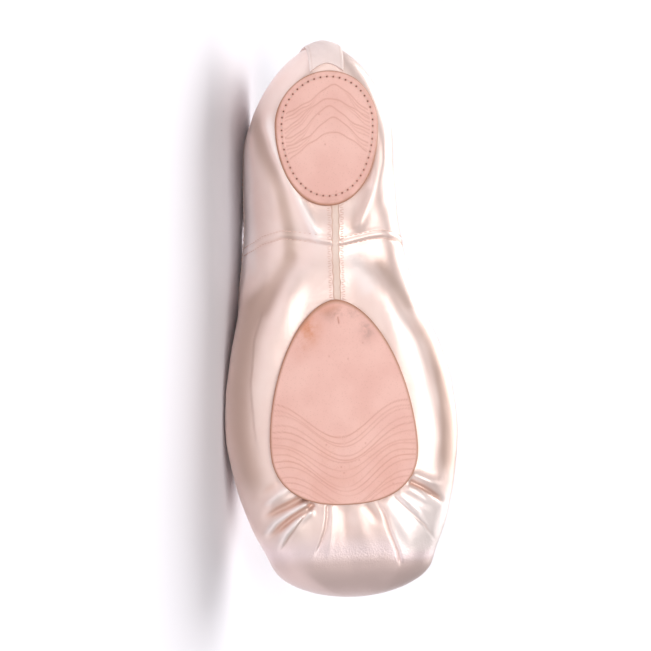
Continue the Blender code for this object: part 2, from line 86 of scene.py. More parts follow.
@dataclass(frozen=True)
class LastSizes:
    """The named sizes of the last, in metres, as in the part's source."""

    length: float = 0.245
    ball_width: float = 0.1016
    waist_width: float = 0.070
    heel_width: float = 0.064
    platform_width: float = 0.061
    heel_height: float = 0.051
    topline_low: float = 0.036
    throat_height: float = 0.054
    platform_top: float = 0.037
    side_height: float = 0.016
    arch_lift: float = 0.0028
    toe_spring: float = 0.0050
    heel_cap: float = 0.047
    topline_low_at: float = 0.100
    throat_at: float = 0.163
    toe_cap: float = 0.014
    heel_undercut: float = 0.013
    heel_lean: float = 0.0045
    quarter_lean: float = 0.0070
    toe_bend: float = 0.0028
    heel_bend: float = 0.0030
    lean_fades_from: float = 0.42
    lean_fades_over: float = 0.20
    toe_bend_from: float = 0.62
    heel_bend_to: float = 0.30
    outsole: float = 0.0022
    clearance: float = 0.0003
    quarter_wall: float = 0.0014
    box_wall: float = 0.0028
    box_wall_from: float = 0.39
    box_wall_over: float = 0.07
    binding_cloth: float = 0.0007
    binding_pressed_to: float = 0.50
    binding_press_fades: float = 0.07
    heel_power: float = 1.65
    toe_power: float = 2.0
    lower_power: float = 2.0
    upper_power: float = 2.3
    throat_rise: float = 1.3
    throat_power: float = 0.57

    @property
    def bed(self) -> float:
        """Height of the upper's underside above the sole plane."""
        return self.outsole + self.clearance


@dataclass(frozen=True)
class Section:
    """One cross-section of the closed last."""

    along: float
    half_width: float
    flat: float
    keel: float
    widest: float
    crown: float


def section_table(size: LastSizes) -> tuple[Section, ...]:
    """Works out the last's cross-sections from its named sizes.

    Args:
        size: The last's sizes.

    Returns:
        One row for each section, from heel to toe.
    """
    bed = size.bed
    side = size.side_height
    heel = size.heel_height
    throat = size.throat_height
    ball = size.ball_width
    top = size.platform_top
    spring = size.toe_spring
    return (
        Section(0.192, 0.50 * size.heel_width, 0.62, bed, 1.15 * side, 1.62 * heel),
        Section(0.310, 0.51 * size.heel_width, 0.56, bed, 1.22 * side, 1.56 * heel),
        Section(0.390, 0.50 * size.waist_width, 0.50, bed + size.arch_lift, 1.25 * side, 1.46 * heel),
        Section(0.470, 0.56 * size.waist_width, 0.50, bed, 1.15 * side, 1.36 * heel),
        Section(0.560, 0.456 * ball, 0.50, bed, 1.02 * side, 1.14 * throat),
        Section(0.630, 0.490 * ball, 0.50, bed, 0.96 * side, 1.04 * throat),
        Section(0.700, 0.500 * ball, 0.50, bed, 0.94 * side, 0.98 * throat),
        Section(0.780, 0.476 * ball, 0.52, bed, 0.96 * side, 0.90 * throat),
        Section(0.865, 0.424 * ball, 0.52, bed + 0.22 * spring, 1.06 * side, 1.16 * top),
        Section(0.943, 0.57 * size.platform_width, 0.50, bed + 0.80 * spring, 1.18 * side, 1.02 * top),
        Section(1.000, 0.50 * size.platform_width, 0.48, bed + 1.10 * spring, 1.24 * side, 0.96 * top),
    )


def ease(share: Array | float) -> Array:
    """A smooth step from 0 to 1."""
    held = np.clip(share, 0.0, 1.0)
    return held * held * (3.0 - 2.0 * held)


def bell(distance: Array, width: float) -> Array:
    """A soft hump that is 1 at no distance and fades over a width."""
    return np.exp(-((distance / width) ** 2))


def cap(share: Array | float, power: float) -> Array:
    """Height of a superellipse's quarter at a share of its run."""
    return np.maximum(0.0, 1.0 - np.minimum(1.0, np.abs(share)) ** power) ** (1.0 / power)


def wobble(place: Array | float, height: float, turn: float, phase: float = 0.0) -> Array:
    """A plain wave along a line: its height, how fast it turns and where it starts."""
    return height * np.sin(turn * place + phase)


class Ramp(NamedTuple):
    """A smooth step: where it starts, and over what run it rises."""

    start: float
    over: float

    def up(self, value: Array | float) -> Array:
        """How far values have come up the step, from 0 to 1."""
        return ease((value - self.start) / self.over)

    def down(self, value: Array | float) -> Array:
        """What the step leaves, from 1 to 0."""
        return 1.0 - self.up(value)


class Hump(NamedTuple):
    """A soft hump: its height, where its middle lies and its width."""

    height: float
    at: float
    width: float

    def value(self, place: Array) -> Array:
        """The hump's height at places."""
        return self.height * bell(place - self.at, self.width)


class Ripple(NamedTuple):
    """An irregular relief: its height in millimetres, its seed and its coarsest length in metres."""

    height: float
    seed: int
    length: float

    def lift(self, places: Array) -> Array:
        """The relief at places, in metres."""
        return self.height * MM * wavy(places, self.seed, self.length)


def monotone(xs: Sequence[float], ys: Sequence[float], at: Array | float) -> Array:
    """A smooth curve through points that never swings past them.

    Args:
        xs: The points' places, rising.
        ys: The points' values.
        at: Where the curve is wanted.

    Returns:
        The curve's values there.
    """
    places = np.asarray(xs, float)
    values = np.asarray(ys, float)
    slopes = np.diff(values) / np.diff(places)
    before, after = slopes[:-1], slopes[1:]
    total = np.where(before + after == 0.0, 1.0, before + after)
    inner = np.where(before * after <= 0.0, 0.0, 2.0 * before * after / total)
    tangents = np.concatenate([[slopes[0]], inner, [slopes[-1]]])
    wanted = np.clip(np.asarray(at, float), places[0], places[-1])
    k = np.clip(np.searchsorted(places, wanted, side="right") - 1, 0, len(places) - 2)
    run = places[k + 1] - places[k]
    t = (wanted - places[k]) / run
    start = values[k] * (1 + 2 * t) * (1 - t) ** 2 + tangents[k] * run * t * (1 - t) ** 2
    end = values[k + 1] * t * t * (3 - 2 * t) + tangents[k + 1] * run * t * t * (t - 1)
    return start + end


def evenly(path: Array, count: int) -> Array:
    """Resamples a path at equal lengths, with its ends kept.

    Args:
        path: The path's points, one a row.
        count: How many steps the new path has.

    Returns:
        The new points.
    """
    run = np.concatenate([[0.0], np.cumsum(np.linalg.norm(np.diff(path, axis=0), axis=1))])
    wanted = np.linspace(0.0, run[-1], count + 1)
    return np.stack([np.interp(wanted, run, path[:, axis]) for axis in range(path.shape[1])], axis=1)


# The crossed waves of an irregular field: how many, how much shorter and lower each is, and their gain
WAVE_COUNT = 9
WAVE_SHORTENS = 0.45
WAVE_LOWERS = 0.35
WAVE_GAIN = 1.8
WAVE_PHASES = 6.28


def wavy(places: Array, seed: int, scale: float) -> Array:
    """A soft irregular field made of a few crossed waves, the same at each run.

    Args:
        places: Points in metres, one a row.
        seed: Which field.
        scale: The field's coarsest wavelength in metres.

    Returns:
        A value from about -1 to 1 for each point.
    """
    dice = np.random.default_rng(seed)
    total = np.zeros(len(places))
    weight = 0.0
    for octave in range(WAVE_COUNT):
        direction = dice.normal(size=3)
        direction /= np.linalg.norm(direction)
        length = scale / (1.0 + WAVE_SHORTENS * octave)
        share = 1.0 / (1.0 + WAVE_LOWERS * octave)
        phase = dice.uniform(0.0, WAVE_PHASES)
        total += share * np.sin(2.0 * math.pi * (places @ direction) / length + phase)
        weight += share
    return WAVE_GAIN * total / weight


@dataclass(frozen=True)
class Egg:
    """The outline of an outsole patch."""

    start: float
    widest_at: float
    end: float
    half_width: float
    back_power: float
    front_power: float

    @classmethod
    def sized(
        cls, start: float, length: float, width: float, widest: float, powers: tuple[float, float],
    ) -> "Egg":
        """Makes an outline from its overall sizes.

        Args:
            start: Where its back lies along the shoe.
            length: Its length.
            width: Its width.
            widest: At which share of its length it is widest.
            powers: The roundness of its back and of its front.

        Returns:
            The outline.
        """
        return cls(start, start + widest * length, start + length, 0.5 * width, *powers)

    def points(self, turns: Array, scale: Array | float) -> tuple[Array, Array]:
        """Points of the outline, drawn in towards the widest place.

        Args:
            turns: Shares of a turn from the toe end.
            scale: How far out the points lie, 1 on the outline.

        Returns:
            The points' x and y.
        """
        angle = 2.0 * math.pi * turns
        forward = np.cos(angle)
        sideways = np.sin(angle)
        power = np.where(forward > 0.0, self.front_power, self.back_power)
        reach = np.where(forward > 0.0, self.end - self.widest_at, self.widest_at - self.start)
        x = self.widest_at + scale * reach * np.sign(forward) * np.abs(forward) ** (2.0 / power)
        y = scale * self.half_width * np.sign(sideways) * np.abs(sideways) ** (2.0 / power)
        return x, y

    def share_out(self, x: Array, y: Array) -> Array:
        """How far out a point lies: 0 at the widest place's middle and 1 on the outline."""
        ahead = x > self.widest_at
        power = np.where(ahead, self.front_power, self.back_power)
        reach = np.where(ahead, self.end - self.widest_at, self.widest_at - self.start)
        total = np.abs((x - self.widest_at) / reach) ** power + np.abs(y / self.half_width) ** power
        return total ** (1.0 / power)


HEEL_PATCH = Egg.sized(start=0.015, length=0.059, width=0.0450, widest=0.40, powers=(2.0, 2.1))
FOREFOOT_PATCH = Egg.sized(start=0.115, length=0.089, width=0.0640, widest=0.71, powers=(1.8, 2.4))
# How finely a section's curves are drawn before they are resampled, and how often a height is refined
CURVE_POINTS = 61
HEIGHT_ROUNDS = 6


class Last:
    """The closed form over which the shoe is made, for whole arrays of places at a time."""

    def __init__(self, size: LastSizes) -> None:
        """Keeps the sizes and works out the table of sections."""
        self.size = size
        self.rows = section_table(size)
        self.stations = [row.along * size.length for row in self.rows]
        self.toe_start = size.length - size.toe_cap
        self.heel_side = self.rows[0].widest
        self.low_angle = float(self.angle_at_height(size.topline_low_at, size.topline_low))

    def value(self, name: str, x: Array | float) -> Array:
        """A column of the table of sections at places along the shoe."""
        return monotone(self.stations, [getattr(row, name) for row in self.rows], x)

    def half_width(self, x: Array | float) -> Array:
        """Half the width, drawn together at the heel."""
        x = np.asarray(x, float)
        size = self.size
        rounding = cap((size.heel_cap - x) / size.heel_cap, size.heel_power)
        heel = self.value("half_width", size.heel_cap) * rounding
        return np.where(x >= size.heel_cap, self.value("half_width", x), heel)

    def back(self, z: Array | float) -> Array:
        """How far the heel's back lies from the rearmost point at a height."""
        z = np.asarray(z, float)
        size = self.size
        down = (self.heel_side - z) / (self.heel_side - self.rows[0].keel)
        low = size.heel_undercut * (1.0 - cap(down, 2.0))
        high = size.heel_lean * ((z - self.heel_side) / (size.heel_height - self.heel_side)) ** 2
        return np.where(z < self.heel_side, low, high)

    def placed(self, x: Array, y: Array, z: Array) -> Array:
        """Section points moved to their places: curved in at the heel, and drawn together at the toe."""
        size = self.size
        x, y, z = np.broadcast_arrays(np.asarray(x, float), np.asarray(y, float), np.asarray(z, float))
        moved = np.where(x < size.heel_cap, x + self.back(z) * (1.0 - x / size.heel_cap), x)
        into_cap = np.maximum(0.0, x - self.toe_start) / size.toe_cap
        scale = np.where(x > self.toe_start, cap(into_cap, size.toe_power), 1.0)
        middle = 0.5 * (self.rows[-1].keel + self.rows[-1].crown)
        return np.stack([moved, y * scale, middle + (z - middle) * scale], axis=-1)

    def station(self, x: Array, z: Array) -> Array:
        """The station whose section passes through a point at this place and height."""
        back = self.back(z)
        heel = np.maximum(0.0, (x - back) / (1.0 - back / self.size.heel_cap))
        return np.where(np.asarray(x) >= self.size.heel_cap, x, heel)

    def width_at_height(self, x: Array, z: Array) -> Array:
        """Half the width of a station's section at a height."""
        half_width = self.half_width(x)
        flat = self.value("flat", x) * half_width
        widest = self.value("widest", x)
        drop = (widest - z) / (widest - self.value("keel", x))
        low = flat + (half_width - flat) * cap(np.maximum(drop, 0.0), self.size.lower_power)
        rise = (z - widest) / (self.value("crown", x) - widest)
        high = half_width * cap(np.maximum(rise, 0.0), self.size.upper_power)
        return np.where(z < widest, low, high)

    def underside(self, x: Array, y: Array) -> Array:
        """Height of the closed form's underside at points."""
        z = self.value("keel", x)
        for _ in range(HEIGHT_ROUNDS):
            station = self.station(x, z)
            half_width = self.half_width(station)
            flat = self.value("flat", station) * half_width
            run = np.maximum(half_width - flat, 1e-9)
            out = np.clip((np.abs(y) - flat) / run, 0.0, 1.0)
            widest = self.value("widest", station)
            z = widest - (widest - self.value("keel", station)) * cap(out, self.size.lower_power)
        return z

    def angle_at_height(self, x: Array | float, z: Array | float) -> Array:
        """The turn about the section's widest point at a height."""
        widest = self.value("widest", x)
        rise = np.maximum(0.0, (z - widest) / (self.value("crown", x) - widest))
        return np.arcsin(np.minimum(1.0, rise ** (self.size.upper_power / 2.0)))

    def collar_angle(self, x: float) -> float:
        """Where the upper's side ends: at the topline, and from the throat on at the crown."""
        size = self.size
        if x >= size.throat_at:
            return RIGHT_ANGLE
        if x <= size.topline_low_at:
            rise = 1.0 - float(ease(x / size.topline_low_at))
            height = size.topline_low + (size.heel_height - size.topline_low) * rise
            return float(self.angle_at_height(x, height))
        share = (x - size.topline_low_at) / (size.throat_at - size.topline_low_at)
        left = (1.0 - share**size.throat_rise) ** size.throat_power
        return RIGHT_ANGLE - (RIGHT_ANGLE - self.low_angle) * left

    def half_section(self, x: float, counts: tuple[int, int, int]) -> Array:
        """Points up one side of a station.

        Args:
            x: The station.
            counts: Steps over the flat underside, the lower corner and the side.

        Returns:
            The points, from the underside's middle to the collar.
        """
        half_width = float(self.half_width(x))
        flat = float(self.value("flat", x)) * half_width
        keel, widest, crown = (float(self.value(name, x)) for name in ("keel", "widest", "crown"))
        under = np.array([[0.0, keel], [flat, keel]])
        turn = np.linspace(0.0, RIGHT_ANGLE, CURVE_POINTS)
        out = np.sin(turn) ** (2.0 / self.size.lower_power)
        down = np.maximum(0.0, np.cos(turn)) ** (2.0 / self.size.lower_power)
        corner = np.stack([flat + (half_width - flat) * out, widest - (widest - keel) * down], axis=1)
        climb = np.linspace(0.0, self.collar_angle(x), CURVE_POINTS)
        side = np.stack([
            half_width * np.maximum(0.0, np.cos(climb)) ** (2.0 / self.size.upper_power),
            widest + (crown - widest) * np.sin(climb) ** (2.0 / self.size.upper_power),
        ], axis=1)
        if x >= self.size.throat_at:
            side[-1, 0] = 0.0
        parts = (evenly(under, counts[0])[:-1], evenly(corner, counts[1])[:-1], evenly(side, counts[2]))
        rows = np.concatenate(parts)
        return self.placed(x, rows[:, 0], rows[:, 1])

    def wall(self, x: Array) -> Array:
        """The upper's thickness."""
        size = self.size
        share = Ramp(size.box_wall_from, size.box_wall_over).up(x / size.length)
        return size.quarter_wall + (size.box_wall - size.quarter_wall) * share

    def worn(self, places: Array) -> Array:
        """Where points of the straight new shoe lie in the worn one."""
        size = self.size
        along = places[:, 0] / size.length
        quarter = Ramp(size.lean_fades_from, size.lean_fades_over).down(along)
        lean = size.quarter_lean * quarter * places[:, 2] / size.heel_height
        toe = size.toe_bend * np.maximum(0.0, (along - size.toe_bend_from) / (1.0 - size.toe_bend_from)) ** 2
        heel = size.heel_bend * np.maximum(0.0, (size.heel_bend_to - along) / size.heel_bend_to) ** 2
        moved = places.copy()
        moved[:, 1] += lean - toe - heel
        return moved


class ShoeFrame:
    """Where the shoe's own frame lies in the world, from the record's two tread faces."""

    def __init__(self, record: dict, last: Last) -> None:
        """Reads the tread faces and works out the frame's axes."""
        mounts = {mount["name"]: mount for mount in record["mounts"]}
        fore = np.array(mounts["forefoot_tread"]["pos_m"], float)
        heel = np.array(mounts["heel_tread"]["pos_m"], float)
        own = last.worn(np.array([[FOREFOOT_PATCH.widest_at, 0.0, 0.0], [HEEL_PATCH.widest_at, 0.0, 0.0]]))
        up = -np.array(mounts["heel_tread"]["axis"], float)
        up /= np.linalg.norm(up)
        way = fore - heel
        way -= up * (way @ up)
        way /= np.linalg.norm(way)
        turn = math.atan2(own[0, 1] - own[1, 1], own[0, 0] - own[1, 0])
        across = np.cross(up, way)
        self.toe = math.cos(turn) * way - math.sin(turn) * across
        self.left = np.cross(up, self.toe)
        self.up = up
        self.axes = np.stack([self.toe, self.left, self.up], axis=1)
        self.origin = heel - self.axes @ own[1]

    def world(self, places: Array) -> Array:
        """Points of the shoe's frame in the world."""
        return places @ self.axes.T + self.origin

    def direction(self, way: Array) -> Array:
        """A direction of the shoe's frame in the world."""
        return self.axes @ way

    def off_floor(self, places: Array, cloth: Array | float) -> Array:
        """Presses points of the shoe's frame sideways until they clear the floor.

        Args:
            places: The points, one a row.
            cloth: How much cloth is still to come between each point and the floor.

        Returns:
            The pressed points.
        """
        height = self.world(places)[:, 2]
        depth = np.where(places[:, 1] > 0.0, np.maximum(0.0, cloth - height), 0.0)
        moved = places.copy()
        moved[:, 1] -= depth / -self.left[2]
        return moved


def normals_of(verts: Array, faces: Array) -> Array:
    """Smooth normals of a mesh of quads and triangles, worked out from its faces.

    Args:
        verts: The vertices, one a row.
        faces: Four corners a row; a triangle repeats its last corner.

    Returns:
        A normal for each vertex.
    """
    a, b, c, d = (verts[faces[:, k]] for k in range(4))
    area = np.cross(c - a, d - b)
    flat = np.linalg.norm(area, axis=1) < 1e-16
    area[flat] = np.cross(b - a, c - a)[flat]
    total = np.zeros_like(verts)
    for k in range(4):
        np.add.at(total, faces[:, k], area)
    length = np.linalg.norm(total, axis=1, keepdims=True)
    return total / np.maximum(length, 1e-20)


def make_piece(
    name: str,
    frame: ShoeFrame,
    places: Array,
    faces: Sequence[Sequence[int]],
    materials: Sequence[bpy.types.Material],
    face_materials: Sequence[int] | None = None,
    fields: dict[str, Array] | None = None,
) -> bpy.types.Object:
    """Makes one smooth mesh object from points in the shoe's frame.

    Args:
        name: The piece's name.
        frame: Where the shoe's frame lies.
        places: The vertices in the shoe's frame, one a row.
        faces: The corners of each face.
        materials: The piece's materials.
        face_materials: Which material each face has.
        fields: Named values for each vertex, which the materials read.

    Returns:
        The new object, linked to the scene.
    """
    mesh = bpy.data.meshes.new(name)
    cleaned = [tuple(dict.fromkeys(int(k) for k in face)) for face in faces]
    kept = [k for k, face in enumerate(cleaned) if len(face) > 2]
    mesh.from_pydata(frame.world(places).tolist(), [], [cleaned[k] for k in kept])
    for material in materials:
        mesh.materials.append(material)
    if face_materials is not None:
        picked = np.asarray(face_materials)[kept]
        mesh.polygons.foreach_set("material_index", picked.astype(np.int32))
    for label, values in (fields or {}).items():
        if values.ndim == 2:
            layer = mesh.attributes.new(label, "FLOAT_VECTOR", "POINT")
            layer.data.foreach_set("vector", values.astype(np.float32).ravel())
        else:
            layer = mesh.attributes.new(label, "FLOAT", "POINT")
            layer.data.foreach_set("value", values.astype(np.float32))
    mesh.validate()
    mesh.shade_smooth()
    mesh.update()
    made = bpy.data.objects.new(name, mesh)
    bpy.context.scene.collection.objects.link(made)
    return made


def grid_faces(rows: int, columns: int, closed: bool = False) -> Array:
    """The quads of a grid of vertices.

    Args:
        rows: How many rows of vertices it has.
        columns: How many vertices a row has.
        closed: Whether each row closes on itself.

    Returns:
        Four corners for each face.
    """
    spans = columns if closed else columns - 1
    i, j = np.meshgrid(np.arange(rows - 1), np.arange(spans), indexing="ij")
    following = (j + 1) % columns
    corners = (i * columns + j, i * columns + following, (i + 1) * columns + following, (i + 1) * columns + j)
    return np.stack([c.ravel() for c in corners], axis=1)


def closed_ends(columns: int, count: int) -> list[tuple[int, ...]]:
    """The two end faces of a tube, from its vertices in a row and in all."""
    return [tuple(range(columns)), tuple(range(count - 1, count - columns - 1, -1))]


def unit(rows: Array) -> Array:
    """Rows of vectors, each brought to length one."""
    return rows / np.maximum(np.linalg.norm(rows, axis=1, keepdims=True), 1e-12)


def two_sided(faces: Array, count: int) -> Array:
    """The faces of a sheet with a second side and a rim.

    Args:
        faces: The first side's quads.
        count: How many vertices the first side has; the second side's follow in the same order.

    Returns:
        The quads of both sides and of the rim between them.
    """
    edges = {(int(face[k]), int(face[(k + 1) % 4])) for face in faces for k in range(4)}
    rim = [(b, a, a + count, b + count) for a, b in edges if (b, a) not in edges]
    return np.concatenate([faces, faces[:, ::-1] + count, np.array(rim)])


def merged(verts: Array, faces: Array, apart: float = 2e-6) -> tuple[Array, Array, Array]:
    """Merges vertices that lie in one place.

    Args:
        verts: The vertices.
        faces: The faces' corners.
        apart: How near counts as one place.

    Returns:
        The vertices kept, the faces on them, and the first old index of each kept vertex.
    """
    keys = np.round(verts / apart).astype(np.int64)
    _, first, inverse = np.unique(keys, axis=0, return_index=True, return_inverse=True)
    return verts[first], inverse.ravel()[faces], first


def segment_distance(x: Array, y: Array, path: Array) -> tuple[Array, Array, Array]:
    """Distance from points to a polyline.

    Args:
        x: The points' x.
        y: The points' y.
        path: The polyline's corners, one a row.

    Returns:
        The distance, the side that the point lies on as its sign, and the share of the path's length.
    """
    lengths = np.linalg.norm(np.diff(path, axis=0), axis=1)
    run = np.concatenate([[0.0], np.cumsum(lengths)])
    best = np.full(x.shape, 1e9)
    side = np.zeros(x.shape)
    share = np.zeros(x.shape)
    for k in range(len(path) - 1):
        way = (path[k + 1] - path[k]) / lengths[k]
        dx, dy = x - path[k, 0], y - path[k, 1]
        along = np.clip(dx * way[0] + dy * way[1], 0.0, lengths[k])
        distance = np.hypot(dx - along * way[0], dy - along * way[1])
        nearer = distance < best
        best = np.where(nearer, distance, best)
        side = np.where(nearer, np.sign(way[0] * dy - way[1] * dx), side)
        share = np.where(nearer, (run[k] + along) / run[-1], share)
    return best, side, share


# A step's ramp beside its line: its reach in widths, its share on the low side, and the notch along the line
STEP_REACH = 2.2
STEP_LOW_SIDE = -0.25
NOTCH_WIDTH = 0.25
NOTCH_DEPTH = 0.5


@dataclass(frozen=True)
class Crease:
    """One fold of the satin, in millimetres of the straight shoe seen from below."""

    fold: Fold
    width: float
    height: float
    path: tuple[tuple[float, float], ...]
    fade_in: float = 0.12
    fade_out: float = 0.35
    # How much painted shade its trough gets
    tint: float = 1.0

    def height_at(self, x: Array, y: Array) -> Array:
        """How far the fold lifts the satin at points.

        Args:
            x: The points' x in millimetres.
            y: The points' y in millimetres.

        Returns:
            The lift in millimetres, below 0 in a trough.
        """
        distance, side, share = segment_distance(x, y, np.array(self.path, float))
        taper = ease(share / self.fade_in) * ease((1.0 - share) / self.fade_out)
        if self.fold is Fold.STEP:
            ramp = np.exp(-distance / (STEP_REACH * self.width)) * np.where(side > 0.0, 1.0, STEP_LOW_SIDE)
            notch = bell(distance, NOTCH_WIDTH * self.width) * NOTCH_DEPTH
            return self.height * taper * ramp * (1.0 - notch)
        sign = 1.0 if self.fold is Fold.RIDGE else -1.0
        return sign * self.height * taper * bell(distance, self.width)


BOX_CREASES = (
    Crease(Fold.RIDGE, 1.9, 1.00, ((194.5, 24.0), (197.0, 28.0), (200.0, 32.5), (204.5, 39.5)), 0.1, 0.4),
    Crease(Fold.TROUGH, 1.55, 1.45,
           ((199.0, 17.0), (202.0, 24.0), (204.6, 30.5), (209.5, 40.0)), 0.04, 0.5),
    Crease(Fold.RIDGE, 1.7, 1.35, ((202.0, 16.5), (206.2, 25.0), (210.0, 32.0), (218.0, 40.0)), 0.08, 0.35),
    Crease(Fold.TROUGH, 1.35, 1.30,
           ((202.5, 14.5), (208.4, 25.0), (214.0, 32.5), (220.0, 38.5)), 0.04, 0.5),
    Crease(Fold.RIDGE, 2.0, 1.30, ((204.5, 15.5), (209.3, 21.8), (215.0, 28.0), (224.0, 34.5)), 0.1, 0.4),
    Crease(Fold.STEP, 1.0, 0.45, ((203.1, 16.0), (208.9, 20.6), (216.0, 26.6), (225.0, 33.0)), 0.1, 0.4),
    Crease(Fold.TROUGH, 0.8, 0.45, ((203.1, 16.0), (208.9, 20.6), (216.0, 26.6), (225.0, 33.0)), 0.1, 0.4),
    Crease(Fold.STEP, 1.2, 0.60,
           ((203.3, 9.3), (208.9, 9.8), (214.4, 11.2), (220.8, 14.0), (226.5, 17.4)), 0.05, 0.35),
    Crease(Fold.TROUGH, 0.65, 0.75,
           ((203.3, 9.3), (208.9, 9.8), (214.4, 11.2), (220.8, 14.0), (226.5, 17.4)), 0.05, 0.35, 0.3),
    Crease(Fold.RIDGE, 1.5, 0.45, ((203.3, 7.4), (210.3, 7.7), (218.9, 9.4), (228.0, 12.0)), 0.08, 0.35),
    Crease(Fold.TROUGH, 2.6, 0.30, ((203.5, 1.5), (214.0, 2.2), (224.0, 3.5)), 0.2, 0.5),
    Crease(Fold.RIDGE, 2.8, 0.22, ((203.8, -3.5), (214.0, -4.0), (224.0, -5.0)), 0.2, 0.5),
    Crease(Fold.TROUGH, 2.0, 0.45, ((203.8, -6.5), (208.0, -9.8), (215.0, -13.6)), 0.15, 0.5),
    Crease(Fold.STEP, 1.2, 0.55,
           ((232.0, -20.3), (225.2, -19.4), (216.5, -16.6), (209.2, -15.0), (202.3, -12.5)), 0.2, 0.08),
    Crease(Fold.TROUGH, 0.7, 0.65,
           ((202.3, -12.5), (209.2, -15.0), (216.5, -16.6), (225.2, -19.4),
            (232.0, -20.3)), 0.35, 0.12, 0.8),
    Crease(Fold.RIDGE, 2.6, 0.45,
           ((202.0, -15.5), (209.0, -19.5), (218.0, -24.0), (227.0, -27.5)), 0.1, 0.4),
    Crease(Fold.TROUGH, 0.6, 0.50,
           ((201.0, -19.2), (204.7, -22.6), (210.5, -28.1), (215.1, -32.5), (222.9, -37.2)), 0.1, 0.35),
    Crease(Fold.RIDGE, 1.4, 0.40,
           ((200.0, -21.0), (204.0, -25.5), (209.0, -31.0), (214.5, -36.0)), 0.1, 0.4),
    Crease(Fold.TROUGH, 0.55, 0.30,
           ((201.3, -17.6), (205.5, -21.0), (208.8, -25.2), (213.5, -29.0)), 0.2, 0.5),
    Crease(Fold.RIDGE, 1.7, 0.50, ((197.6, -25.0), (201.7, -31.0), (207.4, -38.8)), 0.12, 0.45),
    Crease(Fold.TROUGH, 1.3, 1.25,
           ((194.9, -26.4), (198.6, -33.2), (203.0, -39.2), (206.5, -42.8)), 0.1, 0.35),
    Crease(Fold.RIDGE, 1.4, 0.70, ((192.0, -27.8), (195.6, -35.2), (198.8, -42.0)), 0.12, 0.4),
    Crease(Fold.TROUGH, 1.6, 0.40, ((188.6, -29.6), (191.6, -36.0), (193.8, -41.0)), 0.2, 0.5),
    Crease(Fold.TROUGH, 2.0, 0.45, ((191.5, 28.0), (194.8, 33.0), (199.0, 39.0)), 0.15, 0.5),
)

QUARTER_CREASES = (
    Crease(Fold.RIDGE, 2.8, 1.20,
           ((24.0, 26.0), (38.0, 25.6), (49.0, 22.6), (66.6, 15.2), (84.4, 7.2), (92.0, 4.0)), 0.25, 0.15),
    Crease(Fold.TROUGH, 2.6, 0.50,
           ((24.0, 30.5), (40.0, 30.0), (55.0, 26.0), (71.0, 20.0), (90.0, 17.5)), 0.2, 0.3),
    Crease(Fold.RIDGE, 2.8, 1.15,
           ((40.0, -25.0), (56.0, -23.6), (66.0, -20.0), (78.5, -14.8), (87.0, -11.6)), 0.25, 0.12),
    Crease(Fold.TROUGH, 2.6, 0.45, ((36.0, -31.0), (52.0, -32.0), (68.0, -28.0), (82.0, -23.0)), 0.2, 0.3),
    Crease(Fold.TROUGH, 3.6, 0.80, ((93.0, 15.5), (104.8, 23.8), (119.6, 34.0), (132.0, 39.0)), 0.15, 0.4),
    Crease(Fold.RIDGE, 4.6, 0.60, ((93.0, 7.0), (104.0, 13.0), (115.0, 19.0), (132.0, 28.0)), 0.2, 0.4),
    Crease(Fold.RIDGE, 5.0, 0.60, ((93.0, -9.0), (102.5, -12.2), (114.0, -19.0), (136.0, -30.0)), 0.2, 0.4),
    Crease(Fold.TROUGH, 4.2, 0.55,
           ((94.0, -18.0), (109.8, -26.3), (122.0, -33.0), (136.0, -39.0)), 0.15, 0.4),
    Crease(Fold.STEP, 1.6, 0.40,
           ((186.0, 35.5), (172.0, 38.0), (150.0, 38.6), (130.0, 35.5), (114.0, 29.5)), 0.3, 0.2),
    Crease(Fold.TROUGH, 2.5, 0.35, ((96.0, 22.0), (100.0, 30.0), (104.0, 36.0)), 0.3, 0.4),
)


# The ends of a stroke of painted light: how long they fade, as a share of its length, and how far past its
# ends it reaches
STROKE_FADE = 0.2
STROKE_PAST = 0.25


@dataclass(frozen=True)
class Stroke:
    """A stroke of painted shade or painted highlight on the satin, in millimetres of the straight shoe."""

    width: float
    strength: float
    path: tuple[tuple[float, float], ...]

    def tone_at(self, x: Array, y: Array) -> Array:
        """How much painted shade the stroke puts on points; below 0 it is a painted highlight that makes them
        brighter.
        """
        distance, _, share = segment_distance(x, y, np.array(self.path, float))
        ends = ease(share / STROKE_FADE + STROKE_PAST) * ease((1.0 - share) / STROKE_FADE + STROKE_PAST)
        return self.strength * bell(distance, self.width) * ends


# Strokes of painted shade (above 0) and painted highlight (below 0) on the satin
PAINTED_LIGHT_STROKES = (
    Stroke(6.5, 0.90,
           ((104.0, 28.0), (118.0, 34.5), (130.2, 38.5), (151.8, 43.0), (169.2, 43.5),
            (186.6, 41.5), (202.0, 36.5))),
    Stroke(4.2, 0.70, ((92.0, 15.0), (104.8, 24.0), (119.6, 34.5))),
    Stroke(3.2, 0.85, ((26.0, 28.6), (36.0, 29.0), (48.6, 27.0), (66.3, 21.0), (83.9, 18.0), (98.0, 17.5))),
    Stroke(3.4, 0.60, ((86.0, -7.0), (76.2, -13.9), (66.0, -18.8))),
    Stroke(4.0, 0.75,
           ((122.0, -34.2), (136.0, -40.5), (150.0, -44.0), (161.1, -45.8), (174.1, -45.8),
            (194.0, -42.0))),
    Stroke(3.6, 0.65, ((96.0, -19.5), (109.8, -27.6), (122.0, -34.2))),
    Stroke(2.2, -0.90, ((30.0, 24.6), (38.0, 24.2), (49.0, 21.6), (66.6, 14.2), (84.4, 7.0), (92.0, 4.0))),
    Stroke(2.2, -0.30, ((36.0, -24.6), (50.7, -26.3), (64.5, -21.8), (84.0, -15.0))),
    Stroke(5.0, -0.70, ((91.0, -6.9), (102.5, -11.2), (114.0, -17.0))),
    Stroke(4.2, -0.60, ((118.0, -24.0), (138.6, -33.2), (161.5, -37.5), (184.0, -37.0))),
)


